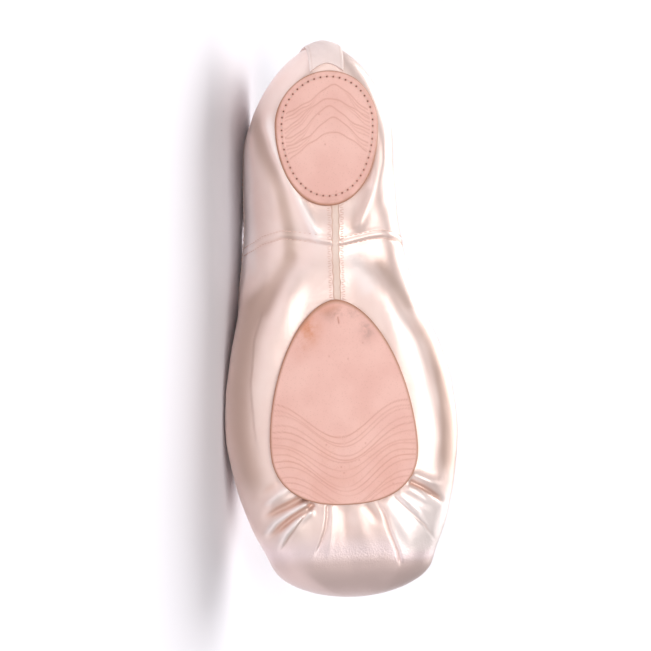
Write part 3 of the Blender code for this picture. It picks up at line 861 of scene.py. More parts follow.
# The seam across the waist in millimetres: across the shoe, then along it
WAIST_SEAM_LINE = (
    (-34.0, 89.8), (-30.3, 88.3), (-22.9, 87.2), (-17.2, 87.6), (-6.2, 89.6),
    (-1.8, 89.8), (12.9, 86.5), (21.1, 85.3), (29.1, 87.1), (37.2, 91.9),
)


def seam_line(y: Array) -> Array:
    """Where the seam across the waist lies along the shoe, in metres, at places across it."""
    across, along = np.array(WAIST_SEAM_LINE).T
    return np.interp(y / MM, across, along) * MM


class Nodes:
    """A short way to write node trees."""

    def __init__(self, tree: bpy.types.NodeTree) -> None:
        """Keeps the tree that the nodes go into."""
        self.tree = tree

    def add(self, kind: str, inputs: dict | None = None, **settings: object) -> bpy.types.Node:
        """Adds one node.

        Args:
            kind: The node's type.
            inputs: Values or sockets for its inputs, by name or number.
            settings: The node's own settings.

        Returns:
            The node.
        """
        node = self.tree.nodes.new(kind)
        for name, value in settings.items():
            setattr(node, name, value)
        for name, value in (inputs or {}).items():
            if isinstance(value, bpy.types.NodeSocket):
                self.tree.links.new(value, node.inputs[name])
            else:
                node.inputs[name].default_value = value
        return node

    def maths(self, operation: str, *values: object) -> bpy.types.NodeSocket:
        """A Math node's output for one to three values or sockets."""
        return self.add("ShaderNodeMath", dict(enumerate(values)), operation=operation).outputs[0]

    def mix(self, factor: object, first: object, second: object) -> bpy.types.NodeSocket:
        """The colour between two colours, each a socket or three plain values."""
        ends = [(*value, 1.0) if isinstance(value, tuple) else value for value in (first, second)]
        return self.add("ShaderNodeMix", {0: factor, 6: ends[0], 7: ends[1]}, data_type="RGBA").outputs[2]

    def field(self, name: str) -> bpy.types.NodeSocket:
        """A named value that the mesh carries."""
        return self.add("ShaderNodeAttribute", attribute_name=name).outputs["Fac"]

    def spread(self, value: object, low: float, high: float) -> bpy.types.NodeSocket:
        """A noise's middle range spread out between two values."""
        return self.add("ShaderNodeMapRange", {
            "Value": value, "From Min": 0.2, "From Max": 0.8, "To Min": low, "To Max": high,
        }).outputs["Result"]

    def bump(self, strength: float, depth: float, height: object) -> bpy.types.NodeSocket:
        """A fine relief's normal."""
        given = {"Strength": strength, "Distance": depth, "Height": height}
        return self.add("ShaderNodeBump", given).outputs["Normal"]

    def step(self, value: object, low: float, high: float) -> bpy.types.NodeSocket:
        """A smooth step of a value from 0 at low to 1 at high."""
        node = self.add("ShaderNodeMapRange", {"Value": value, "From Min": low, "From Max": high})
        node.interpolation_type = "SMOOTHSTEP"
        return node.outputs["Result"]


def new_group(
    name: str, inputs: dict[str, float], outputs: Sequence[str],
) -> tuple[bpy.types.NodeTree, Nodes]:
    """Starts a shader node group with named inputs and outputs.

    Args:
        name: The group's name.
        inputs: Its inputs with their first values.
        outputs: Its outputs.

    Returns:
        The group's tree and a writer for it.
    """
    tree = bpy.data.node_groups.new(name, "ShaderNodeTree")
    for label, value in inputs.items():
        socket = tree.interface.new_socket(label, in_out="INPUT", socket_type="NodeSocketFloat")
        socket.default_value = value
    for label in outputs:
        tree.interface.new_socket(label, in_out="OUTPUT", socket_type="NodeSocketFloat")
    return tree, Nodes(tree)


def weave_group() -> bpy.types.NodeTree:
    """The fine threads of cloth: two sets of ribs with an uneven beat.

    Returns:
        The group, with a height, a tone and the crumple of rubbed cloth.
    """
    tree, nodes = new_group("cloth_weave", {"Threads": 900.0, "Uneven": 0.4}, ("Height", "Tone", "Crumple"))
    given = nodes.add("NodeGroupInput")
    place = nodes.add("ShaderNodeTexCoord").outputs["Object"]
    turned = nodes.add("ShaderNodeMapping", {"Vector": place, "Rotation": (0.3, 0.15, 0.72)}).outputs[0]
    jitter = nodes.add("ShaderNodeTexNoise", {"Vector": turned, "Scale": 260.0, "Detail": 2.0}).outputs["Fac"]
    thread = {"Vector": turned, "Scale": given.outputs["Threads"], "Distortion": 1.5}
    warp, weft = (
        nodes.add("ShaderNodeTexWave", thread, bands_direction=way).outputs["Fac"] for way in ("X", "Y")
    )
    ribs = nodes.maths("MULTIPLY", warp, weft)
    uneven = nodes.maths("MULTIPLY", jitter, given.outputs["Uneven"])
    height = nodes.maths("ADD", ribs, uneven)
    slub = nodes.add("ShaderNodeTexNoise", {"Vector": turned, "Scale": 70.0, "Detail": 3.0}).outputs["Fac"]
    rough = {"Vector": turned, "Scale": 1300.0, "Detail": 3.0}
    crumpled = nodes.add("ShaderNodeTexNoise", rough).outputs["Fac"]
    crumple = nodes.maths("MULTIPLY", crumpled, 6.5)
    nodes.add("NodeGroupOutput", {"Height": height, "Tone": slub, "Crumple": crumple})
    return tree


def grain_group() -> bpy.types.NodeTree:
    """The grain and mottle of split leather.

    Returns:
        The group, with a height, a mottle and a pore mask.
    """
    tree, nodes = new_group("leather_grain", {"Scale": 900.0, "Mottle": 60.0}, ("Height", "Mottle", "Pores"))
    given = nodes.add("NodeGroupInput")
    place = nodes.add("ShaderNodeTexCoord").outputs["Object"]
    fine = nodes.add("ShaderNodeTexNoise", {"Vector": place, "Scale": given.outputs["Scale"], "Detail": 3.0})
    cells = nodes.add("ShaderNodeTexVoronoi", {"Vector": place, "Scale": given.outputs["Scale"]})
    wide = {"Vector": place, "Scale": given.outputs["Mottle"], "Detail": 4.0}
    broad = nodes.add("ShaderNodeTexNoise", wide)
    pores = nodes.step(cells.outputs["Distance"], 0.35, 0.05)
    height = nodes.maths("SUBTRACT", fine.outputs["Fac"], nodes.maths("MULTIPLY", pores, 0.3))
    nodes.add("NodeGroupOutput", {"Height": height, "Mottle": broad.outputs["Fac"], "Pores": pores})
    return tree


def soil_group() -> bpy.types.NodeTree:
    """Handling marks: a patchy mask that lies thicker where a field is high.

    Returns:
        The group, with a mask.
    """
    tree, nodes = new_group("handling_marks", {"Field": 0.0, "Patchy": 90.0, "Strength": 0.5}, ("Mask",))
    given = nodes.add("NodeGroupInput")
    place = nodes.add("ShaderNodeTexCoord").outputs["Object"]
    patchy = nodes.add("ShaderNodeTexNoise", {
        "Vector": place, "Scale": given.outputs["Patchy"], "Detail": 6.0, "Roughness": 0.65,
    }).outputs["Fac"]
    broken = nodes.maths("MULTIPLY", nodes.step(patchy, 0.36, 0.66), given.outputs["Field"])
    mask = nodes.maths("MULTIPLY", broken, given.outputs["Strength"])
    nodes.add("NodeGroupOutput", {"Mask": mask})
    return tree


class Effects:
    """The shader groups that several finishes share, each built once."""

    def __init__(self) -> None:
        """Builds the groups."""
        self.weave = weave_group()
        self.grain = grain_group()
        self.soil = soil_group()


class Finish(ABC):
    """A material with its own colours, which reads the fields of the pieces that wear it."""

    name: str

    def build(self, effects: Effects) -> bpy.types.Material:
        """Builds the material.

        Args:
            effects: The shared groups.

        Returns:
            The material.
        """
        made = bpy.data.materials.new(self.name)
        made.use_nodes = True
        shader = made.node_tree.nodes["Principled BSDF"]
        nodes = Nodes(made.node_tree)
        for label, socket in self.surface(nodes, effects).items():
            made.node_tree.links.new(socket, shader.inputs[label])
        for label, value in self.constants().items():
            shader.inputs[label].default_value = value
        return made

    @abstractmethod
    def surface(self, nodes: Nodes, effects: Effects) -> dict[str, bpy.types.NodeSocket]:
        """The sockets that go into the shader, by its inputs' names."""

    @abstractmethod
    def constants(self) -> dict[str, float]:
        """The shader's plain values, by its inputs' names."""


@dataclass(frozen=True)
class ClothFinish(Finish):
    """A woven finish, from glossy satin to matte tape, that reads painted shade in folds, strokes of painted
    shade and highlight, a painted shade tint at the platform, the rubbed relief and soil.
    """

    name: str
    lit: Colour
    shade: Colour
    # The colour of painted shade in the folds
    fold: Colour
    roughness: float
    coat: float
    coat_roughness: float
    sheen: float
    threads: float
    depth: float
    specular: float = 0.5
    metallic: float = 0.0
    # The colours of the strokes' painted shade and painted highlight
    painted_shade_colour: Colour = (0.56, 0.39, 0.32)
    painted_highlight_colour: Colour = (0.98, 0.87, 0.84)
    # A painted shade tint towards the platform
    platform_shade_rose: Colour = (0.91, 0.75, 0.75)
    dirt: Colour = (0.30, 0.20, 0.15)
    # How far the strokes of painted shade darken the colour
    painted_shade_share: float = 0.85
    # How far painted shade in the folds darkens the colour
    fold_shade_share: float = 0.8

    def surface(self, nodes: Nodes, effects: Effects) -> dict[str, bpy.types.NodeSocket]:
        """The threads' colour under a painted shade tint, strokes of painted shade and highlight, painted
        shade in the folds and the soil, with gloss and relief.
        """
        weave = nodes.add("ShaderNodeGroup", {"Threads": self.threads}, node_tree=effects.weave)
        soil = nodes.add("ShaderNodeGroup", {"Field": nodes.field("soil")}, node_tree=effects.soil)
        painted_light = nodes.field("painted_light")
        base = nodes.mix(nodes.step(weave.outputs["Tone"], 0.25, 0.75), self.shade, self.lit)
        # Painted shade tint towards the platform
        platform_shaded = nodes.mix(nodes.field("blush"), base, self.platform_shade_rose)
        # Strokes of painted shade and painted highlight
        dark = nodes.maths("MULTIPLY", nodes.step(painted_light, 0.0, 1.0), self.painted_shade_share)
        bright = nodes.step(nodes.maths("MULTIPLY", painted_light, -1.0), 0.0, 1.0)
        painted_light_colour = nodes.mix(bright, nodes.mix(dark, platform_shaded, self.painted_shade_colour), self.painted_highlight_colour)
        # Painted shade in the folds
        fold_shade_mix = nodes.maths("MULTIPLY", nodes.step(nodes.field("crease"), 0.05, 0.9), self.fold_shade_share)
        folded = nodes.mix(fold_shade_mix, painted_light_colour, self.fold)
        rubbed = nodes.field("rubbed")
        height = nodes.maths("MULTIPLY_ADD", weave.outputs["Crumple"], rubbed, weave.outputs["Height"])
        return {
            "Base Color": nodes.mix(soil.outputs["Mask"], folded, self.dirt),
            "Roughness": nodes.spread(weave.outputs["Tone"], self.roughness - 0.04, self.roughness + 0.05),
            "Normal": nodes.bump(0.35, self.depth, height),
        }

    def constants(self) -> dict[str, float]:
        """The cloth's gloss, coat and sheen."""
        return {
            "Specular IOR Level": self.specular,
            "Metallic": self.metallic,
            "Coat Weight": self.coat,
            "Coat Roughness": self.coat_roughness,
            "Sheen Weight": self.sheen,
            "Sheen Roughness": 0.4,
        }


@dataclass(frozen=True)
class LeatherFinish(Finish):
    """The buffed leather of the outsole patches, with fields for grooves with painted shade in the stitch
    holes, the cut edge, stains and soil.
    """

    name: str
    face: Colour
    blush: Colour
    edge: Colour
    stain: Colour
    groove: Colour
    roughness: float
    depth: float
    # The colour of painted shade in the stitch holes
    hole_shade: Colour = (0.10, 0.04, 0.025)
    dirt: Colour = (0.36, 0.20, 0.17)
    pore_share: float = 0.16
    groove_share: float = 0.62
    groove_most: float = 0.75

    def surface(self, nodes: Nodes, effects: Effects) -> dict[str, bpy.types.NodeSocket]:
        """The mottled face under its pores, grooves, painted shade in the stitch holes, stains and soil, and
        the darker cut edge.
        """
        grain = nodes.add("ShaderNodeGroup", node_tree=effects.grain)
        warm, soil = (
            nodes.add("ShaderNodeGroup", {"Strength": most, "Field": field}, node_tree=effects.soil)
            for field, most in ((nodes.field("warm"), 1.0), (nodes.field("soil"), 0.9))
        )
        groove = nodes.field("groove")
        base = nodes.mix(nodes.step(grain.outputs["Mottle"], 0.3, 0.7), self.face, self.blush)
        pored = nodes.mix(nodes.maths("MULTIPLY", grain.outputs["Pores"], self.pore_share), base, self.edge)
        line = nodes.maths("MINIMUM", nodes.maths("MULTIPLY", groove, self.groove_share), self.groove_most)
        # Painted shade in the stitch holes
        hole_shaded = nodes.mix(nodes.step(groove, 0.95, 1.6), nodes.mix(line, pored, self.groove), self.hole_shade)
        stained = nodes.mix(warm.outputs["Mask"], hole_shaded, self.stain)
        soiled = nodes.mix(soil.outputs["Mask"], stained, self.dirt)
        return {
            "Base Color": nodes.mix(nodes.field("edge"), soiled, self.edge),
            "Roughness": nodes.spread(grain.outputs["Mottle"], self.roughness, self.roughness + 0.12),
            "Normal": nodes.bump(0.3, self.depth, grain.outputs["Height"]),
        }

    def constants(self) -> dict[str, float]:
        """The leather's low gloss."""
        return {"Specular IOR Level": 0.35}


SATIN = ClothFinish(
    "satin_pale_pink", lit=(0.94, 0.76, 0.70), shade=(0.91, 0.70, 0.635), fold=(0.70, 0.44, 0.35),
    roughness=0.36, coat=0.15, coat_roughness=0.20, sheen=0.15, threads=1500.0, depth=0.00006,
    specular=0.6, metallic=0.50,
)
LINING = ClothFinish(
    "lining_cotton", lit=(0.80, 0.74, 0.66), shade=(0.72, 0.66, 0.58), fold=(0.6, 0.5, 0.42), roughness=0.85,
    coat=0.0, coat_roughness=0.5, sheen=0.1, threads=700.0, depth=0.0002, specular=0.2,
)
SOCK = ClothFinish(
    "sock_canvas", lit=(0.82, 0.76, 0.67), shade=(0.74, 0.67, 0.58), fold=(0.6, 0.5, 0.42), roughness=0.9,
    coat=0.0, coat_roughness=0.5, sheen=0.1, threads=500.0, depth=0.0003, specular=0.2,
)
TAPE = ClothFinish(
    "cotton_tape", lit=(0.95, 0.80, 0.76), shade=(0.90, 0.74, 0.69), fold=(0.7, 0.5, 0.42), roughness=0.62,
    coat=0.0, coat_roughness=0.5, sheen=0.2, threads=800.0, depth=0.0002, specular=0.3,
)
SEAM_TAPE = ClothFinish(
    "seam_tape", lit=(0.90, 0.72, 0.63), shade=(0.84, 0.64, 0.54), fold=(0.7, 0.4, 0.28), roughness=0.5,
    coat=0.1, coat_roughness=0.4, sheen=0.2, threads=900.0, depth=0.0002, specular=0.4,
)
THREAD = ClothFinish(
    "sewing_thread", lit=(0.84, 0.60, 0.52), shade=(0.74, 0.50, 0.42), fold=(0.7, 0.45, 0.35), roughness=0.5,
    coat=0.1, coat_roughness=0.3, sheen=0.2, threads=3000.0, depth=0.00005, specular=0.4,
)
LEATHER = LeatherFinish(
    "outsole_leather", face=(0.85, 0.50, 0.43), blush=(0.91, 0.57, 0.495), edge=(0.46, 0.22, 0.13),
    stain=(0.70, 0.28, 0.15), groove=(0.60, 0.27, 0.20), roughness=0.62, depth=0.00012,
)


# The seed of the stitches' unevenness
STITCH_SEED = 11


def stitch_tree() -> bpy.types.NodeTree:
    """The geometry tree that lays a thread's stitches at a mesh's points.

    Returns:
        The tree, with inputs for the stitch's length, width, height, unevenness and material.
    """
    tree = bpy.data.node_groups.new("laid_stitches", "GeometryNodeTree")
    face = tree.interface
    face.new_socket("Geometry", in_out="INPUT", socket_type="NodeSocketGeometry")
    for label, value in (("Length", 0.002), ("Width", 0.0005), ("Height", 0.0003), ("Uneven", 0.12)):
        face.new_socket(label, in_out="INPUT", socket_type="NodeSocketFloat").default_value = value
    face.new_socket("Material", in_out="INPUT", socket_type="NodeSocketMaterial")
    face.new_socket("Geometry", in_out="OUTPUT", socket_type="NodeSocketGeometry")
    nodes = Nodes(tree)
    given = nodes.add("NodeGroupInput")
    bead = nodes.add("GeometryNodeMeshUVSphere", {"Segments": 8, "Rings": 6, "Radius": 0.5})
    size = nodes.add("ShaderNodeCombineXYZ", {0: given.outputs["Length"], 1: given.outputs["Width"],
                                              2: given.outputs["Height"]})
    shaped = nodes.add("GeometryNodeTransform", {"Geometry": bead.outputs["Mesh"], "Scale": size.outputs[0]})
    along = nodes.add("GeometryNodeInputNamedAttribute", {"Name": "along"}, data_type="FLOAT_VECTOR")
    out = nodes.add("GeometryNodeInputNamedAttribute", {"Name": "out"}, data_type="FLOAT_VECTOR")
    turn = nodes.add("FunctionNodeAxesToRotation", {0: along.outputs[0], 1: out.outputs[0]},
                     primary_axis="X", secondary_axis="Z")
    low = nodes.maths("SUBTRACT", 1.0, given.outputs["Uneven"])
    high = nodes.maths("ADD", 1.0, given.outputs["Uneven"])
    spread = nodes.add("FunctionNodeRandomValue", data_type="FLOAT")
    tree.links.new(low, spread.inputs[2])
    tree.links.new(high, spread.inputs[3])
    spread.inputs["Seed"].default_value = STITCH_SEED
    laid = nodes.add("GeometryNodeInstanceOnPoints", {
        "Points": given.outputs["Geometry"],
        "Instance": shaped.outputs[0],
        "Rotation": turn.outputs[0],
        "Scale": spread.outputs[1],
    })
    real = nodes.add("GeometryNodeRealizeInstances", {"Geometry": laid.outputs[0]})
    smooth = nodes.add("GeometryNodeSetShadeSmooth", {"Geometry": real.outputs[0]})
    dressed = nodes.add("GeometryNodeSetMaterial", {"Geometry": smooth.outputs[0],
                                                    "Material": given.outputs["Material"]})
    nodes.add("NodeGroupOutput", {"Geometry": dressed.outputs[0]})
    return tree


@dataclass(frozen=True)
class Stitch:
    """The size of one stitch in metres."""

    length: float
    width: float
    height: float
    uneven: float = 0.12


class Sewing:
    """Lays rows of stitches with one geometry tree."""

    def __init__(self, frame: ShoeFrame, thread: bpy.types.Material) -> None:
        """Keeps the frame and thread and builds the tree."""
        self.frame = frame
        self.thread = thread
        self.tree = stitch_tree()

    def lay(self, name: str, places: Array, along: Array, out: Array, stitch: Stitch) -> bpy.types.Object:
        """Makes one plain mesh of stitches.

        Args:
            name: The piece's name.
            places: Where the stitches lie, in the shoe's frame.
            along: The way each runs.
            out: The way each faces.
            stitch: The stitches' size.

        Returns:
            The object, linked to the scene.
        """
        points = bpy.data.meshes.new(name + "_points")
        points.from_pydata(self.frame.world(places).tolist(), [], [])
        for label, ways in (("along", along), ("out", out)):
            layer = points.attributes.new(label, "FLOAT_VECTOR", "POINT")
            layer.data.foreach_set("vector", (ways @ self.frame.axes.T).astype(np.float32).ravel())
        carrier = bpy.data.objects.new(name + "_carrier", points)
        bpy.context.scene.collection.objects.link(carrier)
        modifier = carrier.modifiers.new("stitches", "NODES")
        modifier.node_group = self.tree
        inputs = (item for item in self.tree.interface.items_tree if item.in_out == "INPUT")
        names = {item.name: item.identifier for item in inputs}
        for label in ("Length", "Width", "Height", "Uneven"):
            modifier[names[label]] = getattr(stitch, label.lower())
        modifier[names["Material"]] = self.thread
        graph = bpy.context.evaluated_depsgraph_get()
        mesh = bpy.data.meshes.new_from_object(carrier.evaluated_get(graph))
        mesh.name = name
        carrier.modifiers.clear()
        bpy.data.objects.remove(carrier)
        bpy.data.meshes.remove(points)
        if not mesh.materials:
            mesh.materials.append(self.thread)
        made = bpy.data.objects.new(name, mesh)
        bpy.context.scene.collection.objects.link(made)
        return made


def settle(piece: bpy.types.Object, slot: Slot, *nodes: str) -> bpy.types.Object:
    """Lets a finished piece ride on the shoe, and hides the CAD nodes that it stands for."""
    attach(piece, "root")
    if nodes:
        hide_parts(*nodes)
    LOG.info("%s: %d faces", piece.name, len(piece.data.polygons))
    return piece


# The satin's relief. Ramps and humps are in metres, and in millimetres where the name says so
BOX_FOLDS_UNDER = Ramp(0.013, 0.012)
SOLE_FOLDS_UNDER = Ramp(0.020, 0.020)
PAINTED_LIGHT_UNDER = Ramp(0.020, 0.015)
# Painted shade in the box's folds starts along the shoe here, and the quarter's folds get this share of it
BOX_FOLD_SHADE_ALONG_MM = Ramp(186.0, 10.0)
QUARTER_FOLD_SHADE = 0.15
SEAM_RELIEF_MM = (Hump(0.50, 0.0, 0.9), Hump(-0.26, 1.8, 0.8), Hump(-0.18, -1.8, 0.8))
# Painted shade beside the waist seam
SEAM_PAINTED_SHADE_MM = Hump(0.35, 1.4, 0.6)
SEAM_OFF_TAPE_MM = Ramp(0.4, 1.2)
SEAM_UP_SIDES = Ramp(0.010, 0.010)
SEAM_FADE = 0.6
TAPE_MIDDLE = -0.0016
PLATFORM_RIM_MM = Hump(0.25, -1.5, 3.0)
PLATFORM_RIM_BACK = 0.001
STREAKS = Ripple(0.20, 3, 0.034)
STREAK_DRAW = np.array([0.3, 1.0, 1.0])
STREAKS_PAST_HEEL = Ramp(0.004, 0.02)
STREAKS_AT_PLATFORM = Ramp(0.222, 0.01)
DIMPLES = Ripple(0.05, 5, 0.016)
# The swell round the patches and the crown along the arch, in millimetres
BALL_SWELL_MM = Hump(0.65, 8.0, 6.0)
HEEL_SWELL_MM = Hump(0.55, 6.0, 3.4)
ARCH_CROWN_MM = Hump(2.2, 0.0, 10.5)
BALL_RADIUS_MM = 30.0
HEEL_RADIUS_MM = 21.0
WAIST_MIDDLE = 0.0945
WAIST_RUN_MM = Ramp(6.0, 14.0)
BALL_SWELL_TO_TOE = Ramp(0.195, 0.012)
# How strong the painted highlights and painted shade are where no stroke draws them
PAINTED_HIGHLIGHT = 0.9
RIDGE_PAINTED_HIGHLIGHT = 0.7
SIDE_PAINTED_SHADE = 0.50
PLATFORM_PAINTED_SHADE = 0.58
# The painted shade tint towards the platform, the rubbed relief at the platform's edge, and the soil along
# the patches
PLATFORM_SHADE_TINT_ALONG = Ramp(0.214, 0.012)
PLATFORM_SHADE_TINT_UP = Ramp(0.02, 0.03)
RUBBED_AT = 0.2255
RUBBED_WIDTH_MM = 6.0
RUBBED_BELOW = 0.03
SOIL_SHARE = 0.35
SOIL_BELOW = 0.015


@dataclass
class Upper:
    """The satin upper, with its lining as the inner face of one hollow shell."""

    last: Last
    frame: ShoeFrame
    flat_steps: int = 46
    corner_steps: int = 62
    side_steps: int = 24
    hidden_share: float = 0.84
    hidden_below: float = 0.012
    pleats_from: float = 0.190
    seam_from: float = 0.080
    seam_to: float = 0.096

    def stations(self) -> Array:
        """Stations along the shoe, closest together over the heel's back and the pleated box."""
        size = self.last.size
        heel = size.heel_cap * (1.0 - np.cos(np.linspace(0.0, RIGHT_ANGLE, 36)))
        middle = np.linspace(size.heel_cap, self.pleats_from, 82)[1:]
        seam = np.linspace(self.seam_from, self.seam_to, 24)
        box = np.linspace(self.pleats_from, self.last.toe_start, 88)[1:]
        toe = self.last.toe_start + size.toe_cap * np.sin(np.linspace(0.0, RIGHT_ANGLE, 24))[1:]
        kept = middle[(middle < seam[0] - 0.0005) | (middle > seam[-1] + 0.0005)]
        return np.unique(np.concatenate([heel, kept, seam, box, toe]))

    def skin(self) -> tuple[Array, Array, Array]:
        """The skin in the straight shoe, open under the patches, with the coarse cells of its lining.

        Returns:
            The vertices, the outer face's quads, and for each pair of quads the six corners round it.
        """
        counts = (self.flat_steps, self.corner_steps, self.side_steps)
        rows = []
        for x in self.stations():
            half = self.last.half_section(float(x), counts)
            mirrored = half[:0:-1] * MIRROR
            rows.append(np.concatenate([mirrored, half]))
        grid = np.array(rows)
        rows_count, columns = grid.shape[:2]
        i, j = np.meshgrid(np.arange(rows_count - 1), np.arange(0, columns - 1, 2), indexing="ij")
        corner = [(i * columns + j + k).ravel() for k in range(3)]
        following = [((i + 1) * columns + j + k).ravel() for k in range(3)]
        pairs = np.stack([corner[0], corner[1], corner[2], following[2], following[1], following[0]], axis=1)
        verts, pairs, _ = merged(grid.reshape(-1, 3), pairs)
        centre = verts[pairs].mean(axis=1)
        out = np.minimum(
            HEEL_PATCH.share_out(centre[:, 0], centre[:, 1]),
            FOREFOOT_PATCH.share_out(centre[:, 0], centre[:, 1]),
        )
        pairs = pairs[(out > self.hidden_share) | (centre[:, 2] > self.hidden_below)]
        faces = np.concatenate([pairs[:, [0, 1, 4, 5]], pairs[:, [1, 2, 3, 4]]])
        upwards = normals_of(verts, faces)[:, 2] * (verts[:, 2] > 0.03)
        if float(np.sum(upwards)) < 0.0:
            pairs = pairs[:, ::-1]
            faces = np.concatenate([pairs[:, [5, 4, 1, 0]], pairs[:, [4, 3, 2, 1]]])
            faces = faces[:, ::-1]
        return verts, faces, pairs

    def relief(self, places: Array) -> tuple[Array, Array]:
        """The lift of the satin over the plain last, and the painted shade that each point gets in a fold.

        Args:
            places: Vertices in the straight shoe.

        Returns:
            The lift in metres and the painted shade in folds from 0 to 1.
        """
        size = self.last.size
        x, y, z = places.T
        lift = np.zeros(len(places))
        # Painted shade gathers in the folds' troughs and beside the waist seam
        fold = np.zeros(len(places))
        below = BOX_FOLDS_UNDER.down(z)
        for crease in BOX_CREASES:
            found = crease.height_at(x / MM, y / MM) * below
            lift += found * MM
            fold += crease.tint * np.maximum(0.0, -found) * BOX_FOLD_SHADE_ALONG_MM.up(x / MM)
        under = SOLE_FOLDS_UNDER.down(z)
        for crease in QUARTER_CREASES:
            found = crease.height_at(x / MM, y / MM) * under
            lift += found * MM
            fold += np.maximum(0.0, -found) * QUARTER_FOLD_SHADE
        lift += self.pillow(x, y) * under
        seam = (x - seam_line(y)) / MM
        kept = SEAM_OFF_TAPE_MM.up(np.abs(y - TAPE_MIDDLE) / MM) * (1.0 - SEAM_FADE * SEAM_UP_SIDES.up(z))
        lift += sum(hump.value(seam) for hump in SEAM_RELIEF_MM) * MM * kept
        fold += SEAM_PAINTED_SHADE_MM.value(seam) * kept
        rim = size.length - size.toe_cap - PLATFORM_RIM_BACK
        lift += PLATFORM_RIM_MM.value((x - rim) / MM) * MM
        drawn = STREAKS_PAST_HEEL.up(x) * (1.0 - SEAM_FADE * STREAKS_AT_PLATFORM.up(x))
        lift += STREAKS.lift(places * STREAK_DRAW) * drawn
        lift += DIMPLES.lift(places)
        return lift, np.clip(fold, 0.0, 1.0)

    def painted_light(self, places: Array) -> Array:
        """How dark the painted light makes the satin: strokes along the sole, painted highlights on the sides
        and the box's ridges, and painted shade along the right side and on the platform.
        """
        x, y, z = places.T
        under = PAINTED_LIGHT_UNDER.down(z)
        # Strokes of painted shade and painted highlight along the sole
        tone = sum(stroke.tone_at(x / MM, y / MM) for stroke in PAINTED_LIGHT_STROKES) * under
        # Painted highlight on the left quarter and on the box's right side
        tone -= PAINTED_HIGHLIGHT * Ramp(0.0295, 0.004).up(y) * Ramp(0.085, 0.030).down(x)
        box_side = Ramp(0.014, 0.008).up(-y) * Ramp(0.196, 0.012).up(x) * Ramp(0.224, 0.008).down(x)
        tone -= PAINTED_HIGHLIGHT * box_side * under
        # Painted shade along the right side
        edge = 0.025 + 0.014 * Ramp(0.090, 0.040).up(x)
        tone += SIDE_PAINTED_SHADE * ease((-y - edge) / 0.008) * Ramp(0.190, 0.020).down(x)
        # Painted highlight on the box's ridges
        for crease in BOX_CREASES:
            if crease.fold is Fold.RIDGE:
                tone -= RIDGE_PAINTED_HIGHLIGHT * np.maximum(0.0, crease.height_at(x / MM, y / MM)) * under
        # Painted shade on the platform
        platform = Ramp(0.2205, 0.010).up(x) * Ramp(0.024, 0.030).down(z)
        return np.clip(tone + PLATFORM_PAINTED_SHADE * platform, -1.0, 1.0)

    def pillow(self, x: Array, y: Array) -> Array:
        """The satin's swell round the patches and its crown along the arch, in metres."""
        ball = (FOREFOOT_PATCH.share_out(x, y) - 1.0) * BALL_RADIUS_MM
        heel = (HEEL_PATCH.share_out(x, y) - 1.0) * HEEL_RADIUS_MM
        waist = WAIST_RUN_MM.down(np.abs(x - WAIST_MIDDLE) / MM)
        ring = BALL_SWELL_MM.value(ball) * BALL_SWELL_TO_TOE.down(x) + HEEL_SWELL_MM.value(heel)
        return (ring + ARCH_CROWN_MM.value(y / MM) * waist) * MM

    def under_satin(self, x: Array, y: Array) -> Array:
        """Height of the satin's outer face below a point of the sole."""
        z = self.last.underside(x, y)
        lift, _ = self.relief(np.stack([x, y, z], axis=1))
        return z - lift

    def build(self, satin: bpy.types.Material, lining: bpy.types.Material) -> bpy.types.Object:
        """Builds the shell.

        Args:
            satin: The outer face's material.
            lining: The inner face's material.

        Returns:
            The object.
        """
        verts, faces, pairs = self.skin()
        size = self.last.size
        lift, fold = self.relief(verts)
        worn = self.last.worn(verts)
        outer = worn + normals_of(worn, faces) * lift[:, None]
        pressed = Ramp(size.binding_pressed_to, size.binding_press_fades)
        cloth = size.binding_cloth * pressed.down(outer[:, 0] / size.length)
        outer = self.frame.off_floor(outer, cloth)
        base = self.frame.off_floor(worn, cloth)
        inner = base - normals_of(base, faces) * self.last.wall(base[:, 0])[:, None]
        coarse = pairs[:, [0, 2, 3, 5]]
        used, lookup = np.unique(coarse, return_inverse=True)
        lined = lookup.reshape(coarse.shape) + len(outer)
        place = {int(k): n + len(outer) for n, k in enumerate(used)}
        keys = {}
        for pair in pairs:
            corners = [int(k) for k in pair]
            keys[(corners[0], corners[2])] = corners[1]
            keys[(corners[2], corners[3])] = None
            keys[(corners[3], corners[5])] = corners[4]
            keys[(corners[5], corners[0])] = None
        every = [tuple(face) for face in faces]
        every += [tuple(face) for face in lined[:, ::-1]]
        for (a, b), middle in keys.items():
            if a != b and (b, a) not in keys:
                run = (b, a) if middle is None else (b, middle, a)
                every.append((*run, place[a], place[b]))
        picked = np.ones(len(every))
        picked[: len(faces)] = 0.0
        places = np.concatenate([outer, inner[used]])
        nothing = np.zeros(len(used))
        x, z = verts[:, 0], verts[:, 2]
        # The fields carry painted shade in the folds, soil, strokes of painted shade and highlight, a painted
        # shade tint towards the platform and the rubbed relief
        worked = {
            "crease": fold,
            "soil": self.soil(verts),
            "painted_light": self.painted_light(verts),
            "blush": PLATFORM_SHADE_TINT_ALONG.up(x) * PLATFORM_SHADE_TINT_UP.down(z),
            "rubbed": bell((x - RUBBED_AT) / MM, RUBBED_WIDTH_MM) * (z < RUBBED_BELOW),
        }
        fields = {label: np.concatenate([values, nothing]) for label, values in worked.items()}
        return make_piece("upper_satin", self.frame, places, every, (satin, lining), picked, fields)

